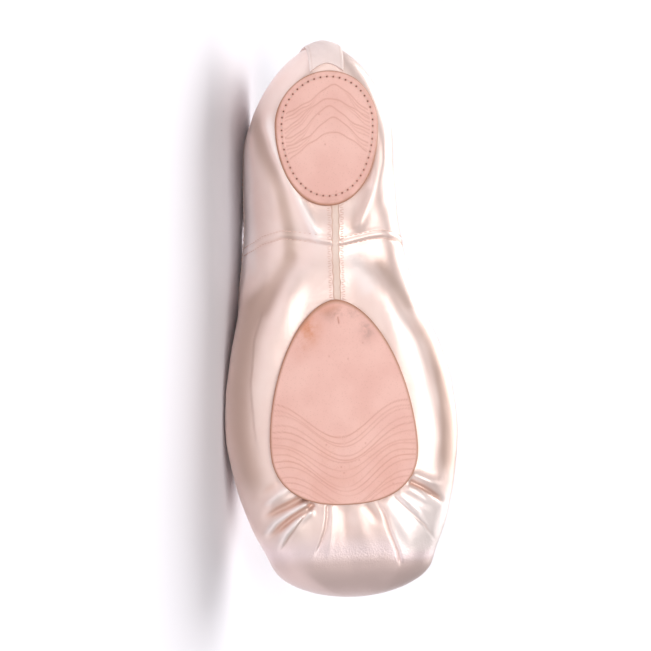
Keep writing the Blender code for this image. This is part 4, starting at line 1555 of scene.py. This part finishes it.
    def soil(self, places: Array) -> Array:
        """Where handling has greyed the satin: faintly along the patches' edges."""
        x, y, z = places.T
        near = np.minimum(
            np.abs(HEEL_PATCH.share_out(x, y) - 1.0) * 0.022,
            np.abs(FOREFOOT_PATCH.share_out(x, y) - 1.0) * 0.032,
        )
        return SOIL_SHARE * bell(near / MM, 1.0) * (z < SOIL_BELOW)


# The rounding of a patch's cut edge: how far out each ring lies, and how far it is lifted in millimetres
EDGE_RINGS = np.array([
    (0.964, 0.03), (0.975, 0.10), (0.985, 0.22), (0.992, 0.38), (0.997, 0.60), (1.0, 0.95),
])
EDGE_SHADE = Ramp(0.962, 0.034)
FLAT_TO = Ramp(0.80, 0.16)
GROOVES_TO = 0.97
GROOVE_DEPTH = 0.20 * MM
CORE_SHARE = 0.80


@dataclass
class Outsole:
    """One leather patch, with embossed lines and a cut edge."""

    name: str
    node: str
    egg: Egg
    last: Last
    frame: ShoeFrame
    rings: int
    spokes: int

    def profile(self) -> tuple[Array, Array]:
        """How far out the ground face's rings lie, and how far each is rounded up at the edge."""
        inner = 0.952 * np.linspace(0.0, 1.0, self.rings) ** 0.85
        outer, lifted = EDGE_RINGS.T
        return np.concatenate([inner, outer]), np.concatenate([np.zeros(self.rings), lifted * MM])

    def ground(self, x: Array, y: Array, share: Array) -> Array:
        """Height of the ground face: flat in the middle and following the last towards the edge."""
        rim = self.last.underside(x, y) - self.last.size.clearance - self.last.size.outsole
        return rim * FLAT_TO.up(share)

    def lines(self, x: Array, y: Array) -> Array:
        """The embossed lines' depth from 0 to 1; the patches each have their own."""
        return np.zeros(np.shape(x))

    def marks(self, x: Array, y: Array) -> dict[str, Array]:
        """The soil and warm stains' fields."""
        return {"soil": np.zeros(np.shape(x)), "warm": np.zeros(np.shape(x))}

    def build(self, leather: bpy.types.Material) -> bpy.types.Object:
        """Builds the patch as one closed solid.

        Args:
            leather: Its material.

        Returns:
            The object.
        """
        size = self.last.size
        shares, rounded = self.profile()
        turns = np.arange(self.spokes) / self.spokes
        grid_s, grid_t = np.meshgrid(shares, turns, indexing="ij")
        x, y = self.egg.points(grid_t, grid_s)
        groove = self.lines(x, y) * (grid_s < GROOVES_TO)
        z = self.ground(x, y, grid_s) + rounded[:, None] + GROOVE_DEPTH * groove
        rows = [np.stack([x, y, z], axis=-1)]
        edge_x, edge_y = x[-1], y[-1]
        top = self.last.underside(edge_x, edge_y) - size.clearance
        for share in (0.5, 0.85, 1.0):
            rows.append(np.stack([edge_x, edge_y, z[-1] + (top - z[-1]) * share], axis=-1)[None])
        low = self.egg.points(turns, CORE_SHARE)
        rows.append(np.stack([low[0], low[1], np.full(self.spokes, size.outsole)], axis=-1)[None])
        grid = np.concatenate(rows)
        edge = np.broadcast_to(EDGE_SHADE.up(shares)[:, None] * 0.85, x.shape)
        hidden = (grid.shape[0] - len(shares), self.spokes)
        fields = {
            label: np.concatenate([values, np.full(hidden, 0.9 if label == "edge" else 0.0)]).ravel()
            for label, values in {"groove": groove, "edge": edge, **self.marks(x, y)}.items()
        }
        faces = grid_faces(grid.shape[0], self.spokes, closed=True)
        flat = grid.reshape(-1, 3)
        verts, faces, first = merged(flat, faces)
        normal = normals_of(verts, faces)
        if float(np.sum(normal[verts[:, 2] < 0.0005, 2])) > 0.0:
            faces = faces[:, ::-1]
        lid = np.where(np.isin(first, np.arange(len(flat) - self.spokes, len(flat))))[0]
        ordered = lid[np.argsort(first[lid])]
        every = [tuple(face) for face in faces]
        middle = len(verts)
        verts = np.concatenate([verts, [[self.egg.widest_at, 0.0, size.outsole]]])
        for k, corner in enumerate(ordered):
            every.append((int(corner), int(ordered[(k + 1) % len(ordered)]), middle))
        kept = {label: np.concatenate([values[first], [0.0]]) for label, values in fields.items()}
        return make_piece(self.name, self.frame, self.last.worn(verts), every, (leather,), None, kept)


def dots(x: Array, y: Array, spots: Sequence[tuple[float, float]], radius: float) -> Array:
    """Small round pits at spots given in millimetres."""
    found = np.zeros(np.shape(x))
    for along, across in spots:
        found = np.maximum(found, bell(np.hypot(x / MM - along, y / MM - across), radius))
    return found


@dataclass
class HeelOutsole(Outsole):
    """The heel patch: hill-shaped lines over its back half and a stitched rim."""

    stitch_count: int = 52
    stitch_share: float = 0.885
    line_count: int = 5

    def rim_holes(self) -> tuple[Array, Array, Array]:
        """The stitch holes' places along the rim, and the turn of each."""
        fine = np.linspace(0.0, 1.0, 2001)
        x, y = self.egg.points(fine, self.stitch_share)
        run = np.concatenate([[0.0], np.cumsum(np.hypot(np.diff(x), np.diff(y)))])
        turns = np.interp(np.arange(self.stitch_count) / self.stitch_count * run[-1], run, fine)
        holes = self.egg.points(turns, self.stitch_share)
        return holes[0], holes[1], turns

    def lines(self, x: Array, y: Array) -> Array:
        """Hill-shaped lines that fork towards the sides, and the pits of the stitches and pinholes."""
        a, b = x / MM, y / MM + 1.7
        found = np.zeros(np.shape(x))
        for number in range(self.line_count):
            hill = 14.5 * (1.0 - np.exp(-((np.abs(b) / 13.5) ** 1.7))) + wobble(b, 0.9, 0.28, 1.9 * number)
            main = 21.6 + 4.9 * number + hill + wobble(b, 0.22, 0.9, 2.0 * number)
            found = np.maximum(found, bell(a - main, 0.30))
            for fork, share in ((1.6, 0.9), (3.2, 0.8)):
                opened = ease((np.abs(b) - 2.5 - number) / 9.0)
                line = main + fork * opened + wobble(b, 0.2, 0.7, 3.1 * number + fork)
                forked = number < self.line_count - 1
                found = np.maximum(found, share * opened * bell(a - line, 0.28) * forked)
        found = found * (self.egg.share_out(x, y) < 0.83)
        holes = self.rim_holes()
        pits = dots(x, y, list(zip(holes[0] / MM, holes[1] / MM)), 0.50)
        rut = 0.35 * bell((self.egg.share_out(x, y) - self.stitch_share) * 22.0, 0.45)
        pins = dots(x, y, ((34.0, 3.5), (47.3, 1.1), (68.1, -2.9)), 0.35)
        return np.maximum(np.maximum(found * 0.8, 2.0 * pits), np.maximum(rut, pins))

    def marks(self, x: Array, y: Array) -> dict[str, Array]:
        """A faint darkening towards the rim."""
        share = self.egg.share_out(x, y)
        return {"soil": 0.25 * ease((share - 0.8) / 0.2), "warm": 0.3 * ease((share - 0.9) / 0.1)}


@dataclass
class ForefootOutsole(Outsole):
    """The forefoot patch: valley-shaped lines over its front half, and stains of handling at its back."""

    def lines(self, x: Array, y: Array) -> Array:
        """Valley-shaped lines that steepen towards the toe, and a few pinholes."""
        across = (y / MM - 0.5) / 30.0
        found = np.zeros(np.shape(x))
        for number in range(14):
            side = 159.5 + 2.75 * number + 0.5 * math.sin(2.4 * number)
            dip = 14.5 - 0.1 * number + 0.7 * math.cos(1.7 * number)
            valley = np.cos(np.clip(across * (1.0 + 0.012 * number), -1.0, 1.0) * math.pi) * 0.5 + 0.5
            line = side + dip * valley**1.15 + wobble(across, 0.8, 4.0, 0.9 * number)
            strength = 1.0 if number in (0, 4, 9) else 0.7
            middle = 1.0 - 0.55 * bell(across, 0.18) * (number > 5)
            found = np.maximum(found, strength * middle * bell(x / MM - line, 0.30))
        found *= self.egg.share_out(x, y) < 0.975
        spots = ((139.5, 4.2), (141.0, -4.0), (134.4, -10.7), (177.8, -9.2), (177.7, 7.8), (185.0, -6.0),
                 (187.6, 2.0), (190.2, 1.1), (196.0, -19.7))
        tick = bell(segment_distance(x / MM, y / MM, np.array([(122.8, -0.6), (125.4, -0.9)]))[0], 0.35)
        return np.maximum(np.maximum(found * 0.8, dots(x, y, spots, 0.32)), 1.2 * tick)

    def marks(self, x: Array, y: Array) -> dict[str, Array]:
        """Orange-brown and greyish smudges at the back of the patch."""
        a, b = x / MM, y / MM
        warm = bell(np.hypot((a - 127.0) / 7.0, (b - 12.5) / 4.6), 1.0)
        warm = np.maximum(warm, 0.8 * bell(np.hypot((a - 133.5) / 5.0, (b - 16.0) / 3.0), 1.0))
        warm = np.maximum(warm, 0.5 * bell(np.hypot((a - 119.5) / 3.0, (b - 2.0) / 8.0), 1.0))
        grey = 0.8 * bell(np.hypot((a - 121.5) / 2.6, (b + 2.5) / 7.0), 1.0)
        grey = np.maximum(grey, 0.7 * bell(np.hypot((a - 129.0) / 5.0, (b + 12.5) / 3.4), 1.0))
        front = 0.35 * ease((a - 150.0) / 40.0)
        return {"soil": grey, "warm": np.maximum(warm, 0.35 * front)}


@dataclass
class CollarBinding:
    """The casing round the collar: tape folded over the collar's edge, drawn into small puckers."""

    last: Last
    frame: ShoeFrame
    steps: int = 720
    height: float = 0.0070
    outlet: float = 0.0030
    round_from: float = 0.14

    def edge(self) -> tuple[Array, Array]:
        """The collar's edge from the throat round the heel and back, with the skin's normals there."""
        size = self.last.size
        stations = np.unique(np.concatenate([
            size.heel_cap * (1.0 - np.cos(np.linspace(0.0, RIGHT_ANGLE, 60))),
            np.linspace(size.heel_cap, self.round_from, 120),
            self.round_from + (size.throat_at - self.round_from) * np.sin(np.linspace(0.0, RIGHT_ANGLE, 90)),
        ]))
        tops, unders = [], []
        for x in stations:
            half = self.last.half_section(float(x), (4, 8, 60))
            tops.append(half[-1])
            unders.append(half[-2])
        top, under = np.array(tops), np.array(unders)
        path, below = (
            self.last.worn(np.concatenate([half[::-1], half[1:] * MIRROR])) for half in (top, under)
        )
        normal = unit(np.cross(np.gradient(path, axis=0), path - below))
        facing = np.sum(normal * (path - path.mean(axis=0)), axis=1)
        normal = np.where((facing < 0.0)[:, None], -normal, normal)
        return path, normal

    def build(self, tape: bpy.types.Material) -> tuple[bpy.types.Object, Array, Array, Array]:
        """Builds the casing.

        Args:
            tape: Its material.

        Returns:
            The object, and the lower seam's places, directions and normals.
        """
        size = self.last.size
        path, normal = self.edge()
        run = np.concatenate([[0.0], np.cumsum(np.linalg.norm(np.diff(path, axis=0), axis=1))])
        wanted = np.linspace(self.outlet / 2, run[-1] - self.outlet / 2, self.steps + 1)
        place = np.stack([np.interp(wanted, run, path[:, k]) for k in range(3)], axis=1)
        facing = unit(np.stack([np.interp(wanted, run, normal[:, k]) for k in range(3)], axis=1))
        along = unit(np.gradient(place, axis=0))
        rise = unit(np.cross(facing, along))
        thick = self.last.wall(place[:, 0])
        out = thick / 2 + size.binding_cloth
        centre = place - facing * (thick / 2)[:, None]
        turn = np.linspace(0.0, math.pi, 15)
        side = np.concatenate([[1.0, 1.0, 1.02, 1.04], np.cos(turn), [-1.04, -1.02, -1.0, -1.0]])
        straight = [-0.30, -0.10, 0.12, 0.45]
        share = np.concatenate([straight, 0.62 + 0.36 * np.sin(turn), straight[::-1]])
        pucker = 0.18 * np.sin(wanted / MM * 2.0 * math.pi / 3.1 + 2.0 * np.sin(wanted / MM / 11.0))
        pucker += 0.10 * np.sin(wanted / MM * 2.0 * math.pi / 1.9 + 1.3 * np.sin(wanted / MM / 7.0))
        grid = []
        for across, up in zip(side, share):
            swell = pucker * MM * np.clip(1.0 - abs(up - 0.35) * 1.1, 0.0, 1.0)
            reach = across * out + np.sign(across) * swell
            lift = size.clearance + self.height * up + 0.2 * MM * np.sin(wanted / MM / 2.6) * (up > 0.5)
            grid.append(centre + facing * reach[:, None] + rise * lift[:, None])
        verts = np.stack(grid, axis=1)
        # Painted shade in the puckers' folds
        folded = np.clip(np.abs(np.tile(pucker[:, None], (1, len(side)))) * 1.2, 0.0, 0.5)
        rows, columns = verts.shape[:2]
        flat = self.frame.off_floor(verts.reshape(-1, 3), 0.0)
        faces = grid_faces(rows, columns, closed=True)
        if float(np.sum(normals_of(flat, faces) * (flat - np.repeat(centre, columns, axis=0)))) < 0.0:
            faces = faces[:, ::-1]
        every = [tuple(face) for face in faces] + closed_ends(columns, len(flat))
        fields = {"crease": folded.ravel(), "soil": np.zeros(len(flat))}
        made = make_piece("collar_casing", self.frame, flat, every, (tape,), None, fields)
        seam = verts[:, 1] + rise * (1.2 * MM)
        seam = self.frame.off_floor(seam + facing * (0.05 * MM), 0.0)
        return made, seam, along, facing


@dataclass
class BackStrip:
    """The matte tape that covers the heel's back seam."""

    last: Last
    frame: ShoeFrame
    width: float = 0.0145
    thickness: float = 0.0008
    rows: int = 90
    columns: int = 25

    def build(self, tape: bpy.types.Material) -> bpy.types.Object:
        """Builds the strip.

        Args:
            tape: Its material.

        Returns:
            The object.
        """
        last = self.last
        size = last.size
        keel = last.rows[0].keel
        side = last.heel_side
        start = math.radians(84.0)
        turns = start * (1.0 - np.linspace(0.0, 1.0, self.rows // 2, endpoint=False))
        heights = side - (side - keel) * np.sin(turns)
        top = size.heel_height - size.clearance
        heights = np.concatenate([heights, np.linspace(side, top, self.rows - self.rows // 2)])
        across = np.linspace(-0.5, 0.5, self.columns) * self.width
        z, y = np.meshgrid(heights, across, indexing="ij")
        near = np.zeros(z.shape)
        far = np.full(z.shape, size.heel_cap)
        for _ in range(50):
            middle = 0.5 * (near + far)
            short = last.width_at_height(middle, z) < np.abs(y)
            near = np.where(short, middle, near)
            far = np.where(short, far, middle)
        grid = last.placed(0.5 * (near + far), y, z)
        verts = grid.reshape(-1, 3)
        faces = grid_faces(self.rows, self.columns)
        normal = normals_of(verts, faces)
        if float(normal[:, 0].sum()) > 0.0:
            faces = faces[:, ::-1]
            normal = -normal
        share = np.tile(np.linspace(-1.0, 1.0, self.columns), self.rows)
        rib = 0.05 * MM * np.sin(np.repeat(np.arange(self.rows), self.columns) * 2.1) * (np.abs(share) < 0.9)
        selvedge = 0.12 * MM * bell(np.abs(share) - 0.9, 0.08)
        crinkle = 0.12 * MM * wavy(verts, 17, 0.011)
        lift = size.clearance + self.thickness + rib + selvedge + crinkle
        outer = verts + normal * lift[:, None]
        inner = verts + normal * size.clearance
        every = two_sided(faces, len(verts))
        places = last.worn(np.concatenate([outer, inner]))
        # Painted shade along the tape's folded selvedges
        folded = 0.5 * bell(np.abs(share) - 0.86, 0.05)
        fields = {"crease": np.tile(folded, 2), "soil": np.zeros(len(places))}
        return make_piece("back_tape", self.frame, places, every, (tape,), None, fields)


@dataclass
class CentreSeam:
    """The raised tape along the arch, from the heel patch to the forefoot patch, with its stitches."""

    last: Last
    frame: ShoeFrame
    upper: Upper
    width: float = 0.0034
    proud: float = 0.0005
    start: float = 0.0725
    end: float = 0.1165

    def middle(self, x: Array) -> Array:
        """Where the tape's middle lies across the shoe."""
        return np.interp(x / MM, [72.0, 93.0, 116.0], [-2.6, -1.6, -1.1]) * MM

    def build(self, tape: bpy.types.Material) -> bpy.types.Object:
        """Builds the tape.

        Args:
            tape: Its material.

        Returns:
            The object.
        """
        x = np.linspace(self.start, self.end, 120)
        across = np.linspace(-0.5, 0.5, 13)
        grid_x, grid_a = np.meshgrid(x, across, indexing="ij")
        y = self.middle(grid_x) + grid_a * self.width * (1.0 + 0.08 * np.sin(grid_x / MM * 1.3))
        crown = self.proud * (1.0 - np.abs(2.0 * grid_a) ** 4) + 0.08 * MM * np.sin(grid_x / MM * 6.0)
        satin = self.upper.under_satin(grid_x.ravel(), y.ravel()).reshape(y.shape)
        z = satin - 0.05 * MM - crown
        outer = np.stack([grid_x, y, z], axis=-1).reshape(-1, 3)
        inner = outer.copy()
        inner[:, 2] += (crown + 0.25 * MM).ravel()
        faces = grid_faces(len(x), len(across))
        if float(normals_of(outer, faces)[:, 2].sum()) > 0.0:
            faces = faces[:, ::-1]
        every = two_sided(faces, len(outer))
        # Painted shade along the tape's edges
        ridge = 0.6 * bell(np.abs(2.0 * grid_a).ravel() - 0.9, 0.2)
        places = self.last.worn(np.concatenate([outer, inner]))
        fields = {"crease": np.tile(ridge, 2), "soil": np.zeros(len(places))}
        return make_piece("arch_seam_tape", self.frame, places, every, (tape,), None, fields)

    def overcast(self) -> tuple[Array, Array, Array]:
        """Places, directions and faces of the zigzag stitches on both sides of the tape."""
        places, ways = [], []
        for side in (-1.0, 1.0):
            for number, x in enumerate(np.arange(self.start + 0.0015, self.end - 0.001, 0.00105)):
                lean = 0.30 if number % 2 else -0.30
                y = float(self.middle(np.array(x))) + side * (self.width / 2 + 0.0011)
                z = float(self.upper.under_satin(np.array([x]), np.array([y]))[0]) - 0.0002
                places.append((x, y, z))
                ways.append((lean, side, 0.0))
        made = self.last.worn(np.array(places))
        ways_array = np.array(ways)
        return made, ways_array, np.tile([0.0, 0.0, -1.0], (len(made), 1))


@dataclass
class Sock:
    """The canvas insole sock."""

    last: Last
    frame: ShoeFrame
    end: float = 0.205
    side_gap: float = 0.0010
    lift: float = 0.0005
    thickness: float = 0.0018

    def build(self, canvas: bpy.types.Material) -> bpy.types.Object:
        """Builds the sock with softly rounded edges.

        Args:
            canvas: Its material.

        Returns:
            The object.
        """
        last = self.last
        size = last.size
        keel = last.rows[0].keel
        round_from = self.end - 0.10 * size.length
        first = 0.06 * size.heel_cap
        station = np.unique(np.concatenate([
            first + (size.heel_cap - first) * (1.0 - np.cos(np.linspace(0.0, RIGHT_ANGLE, 30))),
            np.linspace(size.heel_cap, round_from, 90),
            round_from + (self.end - round_from) * np.sin(np.linspace(0.0, 1.45, 30)),
        ]))
        x = last.placed(station, np.zeros_like(station), np.full_like(station, keel))[:, 0]
        half = last.value("flat", station) * last.half_width(station) - self.side_gap
        rounding = cap(np.maximum(0.0, station - round_from) / (self.end - round_from), 2.0)
        half = np.maximum(half * rounding, 0.0006)
        base = last.value("keel", station) + last.wall(x) + self.lift
        top_y = np.linspace(-1.0, 1.0, 41)
        grid = []
        for share in top_y:
            bulge = 0.06 * MM * np.sin(40.0 * share) * (abs(share) < 0.9)
            drop = 0.25 * self.thickness * max(0.0, abs(share) - 0.94) / 0.06
            grid.append(np.stack([x, half * share, base + self.thickness - drop + bulge], axis=-1))
        for share in top_y[::-8]:
            grid.append(np.stack([x, half * share, base], axis=-1))
        verts = np.stack(grid, axis=1)
        rows, columns = verts.shape[:2]
        flat = verts.reshape(-1, 3)
        faces = grid_faces(rows, columns, closed=True)
        middle = np.stack([x, np.zeros_like(x), base + self.thickness / 2], axis=-1)
        if float(np.sum(normals_of(flat, faces) * (flat - np.repeat(middle, columns, axis=0)))) < 0.0:
            faces = faces[:, ::-1]
        every = [tuple(face) for face in faces] + closed_ends(columns, len(flat))
        fields = {"crease": np.zeros(len(flat)), "soil": 0.3 * bell((flat[:, 0] / MM - 175.0), 25.0)}
        return make_piece("insole_sock", self.frame, last.worn(flat), every, (canvas,), None, fields)


# Each soft light's name, place, aim, side in metres, watts and tint
SOFT_LIGHTS = (
    ("key_soft_box", (0.05, -0.80, 0.80), (0.0, 0.0, 0.04), 0.62, 5.4, (1.0, 0.98, 0.965)),
    ("low_fill", (-0.05, -0.75, 0.22), (0.0, 0.0, 0.02), 0.40, 0.45, (1.0, 0.98, 0.975)),
    ("floor_wash", (0.0, 1.8, 2.1), (0.0, 1.6, 0.0), 2.2, 33.0, (0.99, 0.99, 1.0)),
)
# The camera: its roll, pitch and turn in degrees, its scale in pixels for each metre at 1 m,
# the picture's side in pixels, its sensor in millimetres, and how far the photo's middle lies off its aim
CAMERA_TURNS = (-2.26, 2.81, -3.21)
CAMERA_SCALE = 2308.7
PICTURE_SIDE = 651.0
SENSOR = 36.0
OFF_RIGHT = 11.0
OFF_DOWN = 8.9
AIM = np.array([0.1225, 0.0, 0.0])


class Studio:
    """The pale floor, the soft lights and the camera at the photograph's angle."""

    def __init__(self, frame: ShoeFrame) -> None:
        """Keeps where the shoe lies."""
        self.frame = frame

    def floor(self) -> None:
        """A pale floor that sweeps up far behind the shoe."""
        material = bpy.data.materials.new("studio_white")
        material.use_nodes = True
        shader = material.node_tree.nodes["Principled BSDF"]
        shader.inputs["Base Color"].default_value = (0.83, 0.82, 0.86, 1.0)
        shader.inputs["Roughness"].default_value = 0.9
        shader.inputs["Specular IOR Level"].default_value = 0.1
        profile = [(-6.0, 0.0), (3.0, 0.0), (4.0, 0.05), (4.8, 0.2), (5.3, 0.45), (5.5, 0.8)]
        verts = [(x, y, z) for y, z in profile for x in (-7.0, 7.0)]
        faces = [(2 * k, 2 * k + 1, 2 * k + 3, 2 * k + 2) for k in range(len(profile) - 1)]
        mesh = bpy.data.meshes.new("studio_floor")
        mesh.from_pydata(verts, [], faces)
        mesh.materials.append(material)
        mesh.shade_smooth()
        floor = bpy.data.objects.new("studio_floor", mesh)
        bpy.context.scene.collection.objects.link(floor)

    def lamp(self, name: str, kind: str, way: Sequence[float], **settings: object) -> bpy.types.Object:
        """Adds a light.

        Args:
            name: The light's name.
            kind: AREA or SUN.
            way: The way in which it shines.
            settings: Its size, strength and colour, by Blender's names.

        Returns:
            The light's object.
        """
        data = bpy.data.lights.new(name, kind)
        for label, value in settings.items():
            setattr(data, label, value)
        lamp = bpy.data.objects.new(name, data)
        lamp.rotation_mode = "QUATERNION"
        lamp.rotation_quaternion = Vector(way).to_track_quat("-Z", "Y")
        bpy.context.scene.collection.objects.link(lamp)
        return lamp

    def lights(self) -> None:
        """The surround, a soft box on the sole's side, a low fill, a far window and a wash on the floor."""
        world = bpy.data.worlds.new("studio_surround")
        world.use_nodes = True
        surround = world.node_tree.nodes["Background"]
        surround.inputs["Color"].default_value = (1.0, 0.97, 0.975, 1.0)
        nodes = Nodes(world.node_tree)
        seen = nodes.add("ShaderNodeLightPath").outputs["Is Camera Ray"]
        strength = nodes.add("ShaderNodeMapRange", {"Value": seen, "To Min": 0.31, "To Max": 1.0})
        world.node_tree.links.new(strength.outputs["Result"], surround.inputs["Strength"])
        bpy.context.scene.world = world
        for name, place, aim, size, watts, tint in SOFT_LIGHTS:
            way = Vector(aim) - Vector(place)
            lamp = self.lamp(name, "AREA", way, shape="SQUARE", size=size, energy=watts, color=tint)
            lamp.location = place
        way = -Vector((-0.34, 0.66, 0.67))
        self.lamp("far_window", "SUN", way, angle=math.radians(40.0), energy=2.15, color=(0.99, 0.99, 1.0))

    def camera(self) -> None:
        """Places the camera as in the photograph: square to the sole, with the heel at the top."""
        roll, pitch, turn = (math.radians(value) for value in CAMERA_TURNS)
        rx = np.array([[1, 0, 0], [0, math.cos(roll), -math.sin(roll)], [0, math.sin(roll), math.cos(roll)]])
        ry = np.array([
            [math.cos(pitch), 0, math.sin(pitch)],
            [0, 1, 0],
            [-math.sin(pitch), 0, math.cos(pitch)],
        ])
        rz = np.array([[math.cos(turn), -math.sin(turn), 0], [math.sin(turn), math.cos(turn), 0], [0, 0, 1]])
        seen = rz @ ry @ rx
        look, right, down = seen.T @ [0.0, 0.0, 1.0], seen.T @ [0.0, -1.0, 0.0], seen.T @ [1.0, 0.0, 0.0]
        place = AIM - look - right * (OFF_RIGHT / CAMERA_SCALE) + down * (OFF_DOWN / CAMERA_SCALE)
        axes = [self.frame.direction(way) for way in (right, -down, -look)]
        turned = [[*(float(axis[row]) for axis in axes), 0.0] for row in range(3)]
        matrix = Matrix(turned + [[0.0, 0.0, 0.0, 1.0]])
        data = bpy.data.cameras.new("photo_camera")
        data.sensor_width = SENSOR
        data.lens = CAMERA_SCALE / PICTURE_SIDE * SENSOR
        data.clip_start = 0.05
        data.clip_end = 30.0
        camera = bpy.data.objects.new("photo_camera", data)
        matrix.translation = Vector(self.frame.world(place[None])[0])
        camera.matrix_world = matrix
        bpy.context.scene.collection.objects.link(camera)
        bpy.context.scene.camera = camera


def waist_stitches(last: Last, upper: Upper) -> tuple[Array, Array, Array]:
    """Two rows of stitches along the waist seam, from the arch up both sides to the collar.

    Args:
        last: The last.
        upper: The satin on which they lie.

    Returns:
        The stitches' places, directions and normals.
    """
    counts = (8, 18, 14)
    places, ways, outs = [], [], []
    for offset in (-0.0017, 0.0018):
        for side in (-1.0, 1.0):
            guide = last.half_section(0.088, counts)
            for number in range(3, len(guide) - 3):
                x = float(seam_line(np.array([side * guide[number, 1]]))[0]) + offset
                row = last.half_section(x, counts) * np.array([1.0, side, 1.0])
                way = row[number + 1] - row[number - 1]
                way /= np.linalg.norm(way)
                out = np.array([0.0, way[2], -way[1]])
                middle = np.array([x, 0.0, 0.030])
                out *= 1.0 if float(out @ (row[number] - middle)) > 0.0 else -1.0
                places.append(row[number])
                ways.append(way)
                outs.append(out)
    spots = np.array(places)
    lift, _ = upper.relief(spots)
    normal = np.array(outs)
    return last.worn(spots + normal * (lift + 0.0001)[:, None]), np.array(ways), normal


RIM_STITCH = Stitch(0.0013, 0.00055, 0.0004)
OVERCAST_STITCH = Stitch(0.0018, 0.00032, 0.0003, 0.2)
WAIST_STITCH = Stitch(0.0015, 0.00036, 0.0003)
CASING_STITCH = Stitch(0.0017, 0.00036, 0.0003)


def sew(
    sewing: Sewing, last: Last, heel: HeelOutsole, seam: CentreSeam, collar: tuple[Array, Array, Array],
) -> None:
    """Lays every row of stitches.

    Args:
        sewing: The stitch maker.
        last: The last.
        heel: The heel patch, whose rim is stitched.
        seam: The arch seam.
        collar: The casing's lower seam: places, directions and normals.
    """
    hole_x, hole_y, turns = heel.rim_holes()
    following = np.roll(np.arange(len(turns)), -1)
    x = 0.5 * (hole_x + hole_x[following])
    y = 0.5 * (hole_y + hole_y[following])
    z = heel.ground(x, y, np.full(len(x), heel.stitch_share)) - 0.00002
    along = np.stack([hole_x[following] - hole_x, hole_y[following] - hole_y, np.zeros(len(x))], axis=1)
    places = last.worn(np.stack([x, y, z], axis=1))
    out = np.tile([0.0, 0.0, -1.0], (len(x), 1))
    settle(sewing.lay("heel_rim_stitches", places, along, out, RIM_STITCH), Slot.LEATHER)
    places, ways, out = seam.overcast()
    settle(sewing.lay("arch_overcast", places, ways, out, OVERCAST_STITCH), Slot.SATIN)
    places, way, out = waist_stitches(last, seam.upper)
    settle(sewing.lay("waist_seam_stitches", places, way, out, WAIST_STITCH), Slot.SATIN)
    edge, direction, facing = collar
    picked = np.arange(6, len(edge) - 6, 4)
    settle(sewing.lay("casing_stitches", edge[picked], direction[picked], facing[picked],
                      CASING_STITCH), Slot.TAPE)


def main() -> None:
    """Builds the studio and each part of the shoe, in the order in which a maker would put them together."""
    logging.basicConfig(level=logging.INFO, format="%(name)s: %(message)s")
    bpy.context.scene.view_settings.view_transform = "Standard"
    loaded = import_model()
    last = Last(LastSizes())
    frame = ShoeFrame(loaded["record"], last)
    studio = Studio(frame)
    studio.floor()
    studio.lights()
    studio.camera()
    effects = Effects()
    satin = SATIN.build(effects)
    upper = Upper(last, frame)
    settle(upper.build(satin, LINING.build(effects)), Slot.SATIN, "upper")
    leather = LEATHER.build(effects)
    heel = HeelOutsole("heel_outsole", "outsole_heel", HEEL_PATCH, last, frame, 78, 420)
    fore = ForefootOutsole("forefoot_outsole", "outsole_forefoot", FOREFOOT_PATCH, last, frame, 108, 560)
    settle(heel.build(leather), Slot.LEATHER, heel.node)
    settle(fore.build(leather), Slot.LEATHER, fore.node)
    settle(Sock(last, frame).build(SOCK.build(effects)), Slot.SOCK, "insole")
    tape = TAPE.build(effects)
    casing, edge, direction, facing = CollarBinding(last, frame).build(tape)
    settle(casing, Slot.TAPE, "collar_binding")
    settle(BackStrip(last, frame).build(tape), Slot.TAPE, "back_strip")
    seam = CentreSeam(last, frame, upper)
    settle(seam.build(SEAM_TAPE.build(effects)), Slot.SATIN)
    sewing = Sewing(frame, THREAD.build(effects))
    sew(sewing, last, heel, seam, (edge, direction, facing))
    report_sizes()


def report_sizes() -> None:
    """Brings the view layer up to date.
    """
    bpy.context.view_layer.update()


if __name__ == "__main__":
    main()
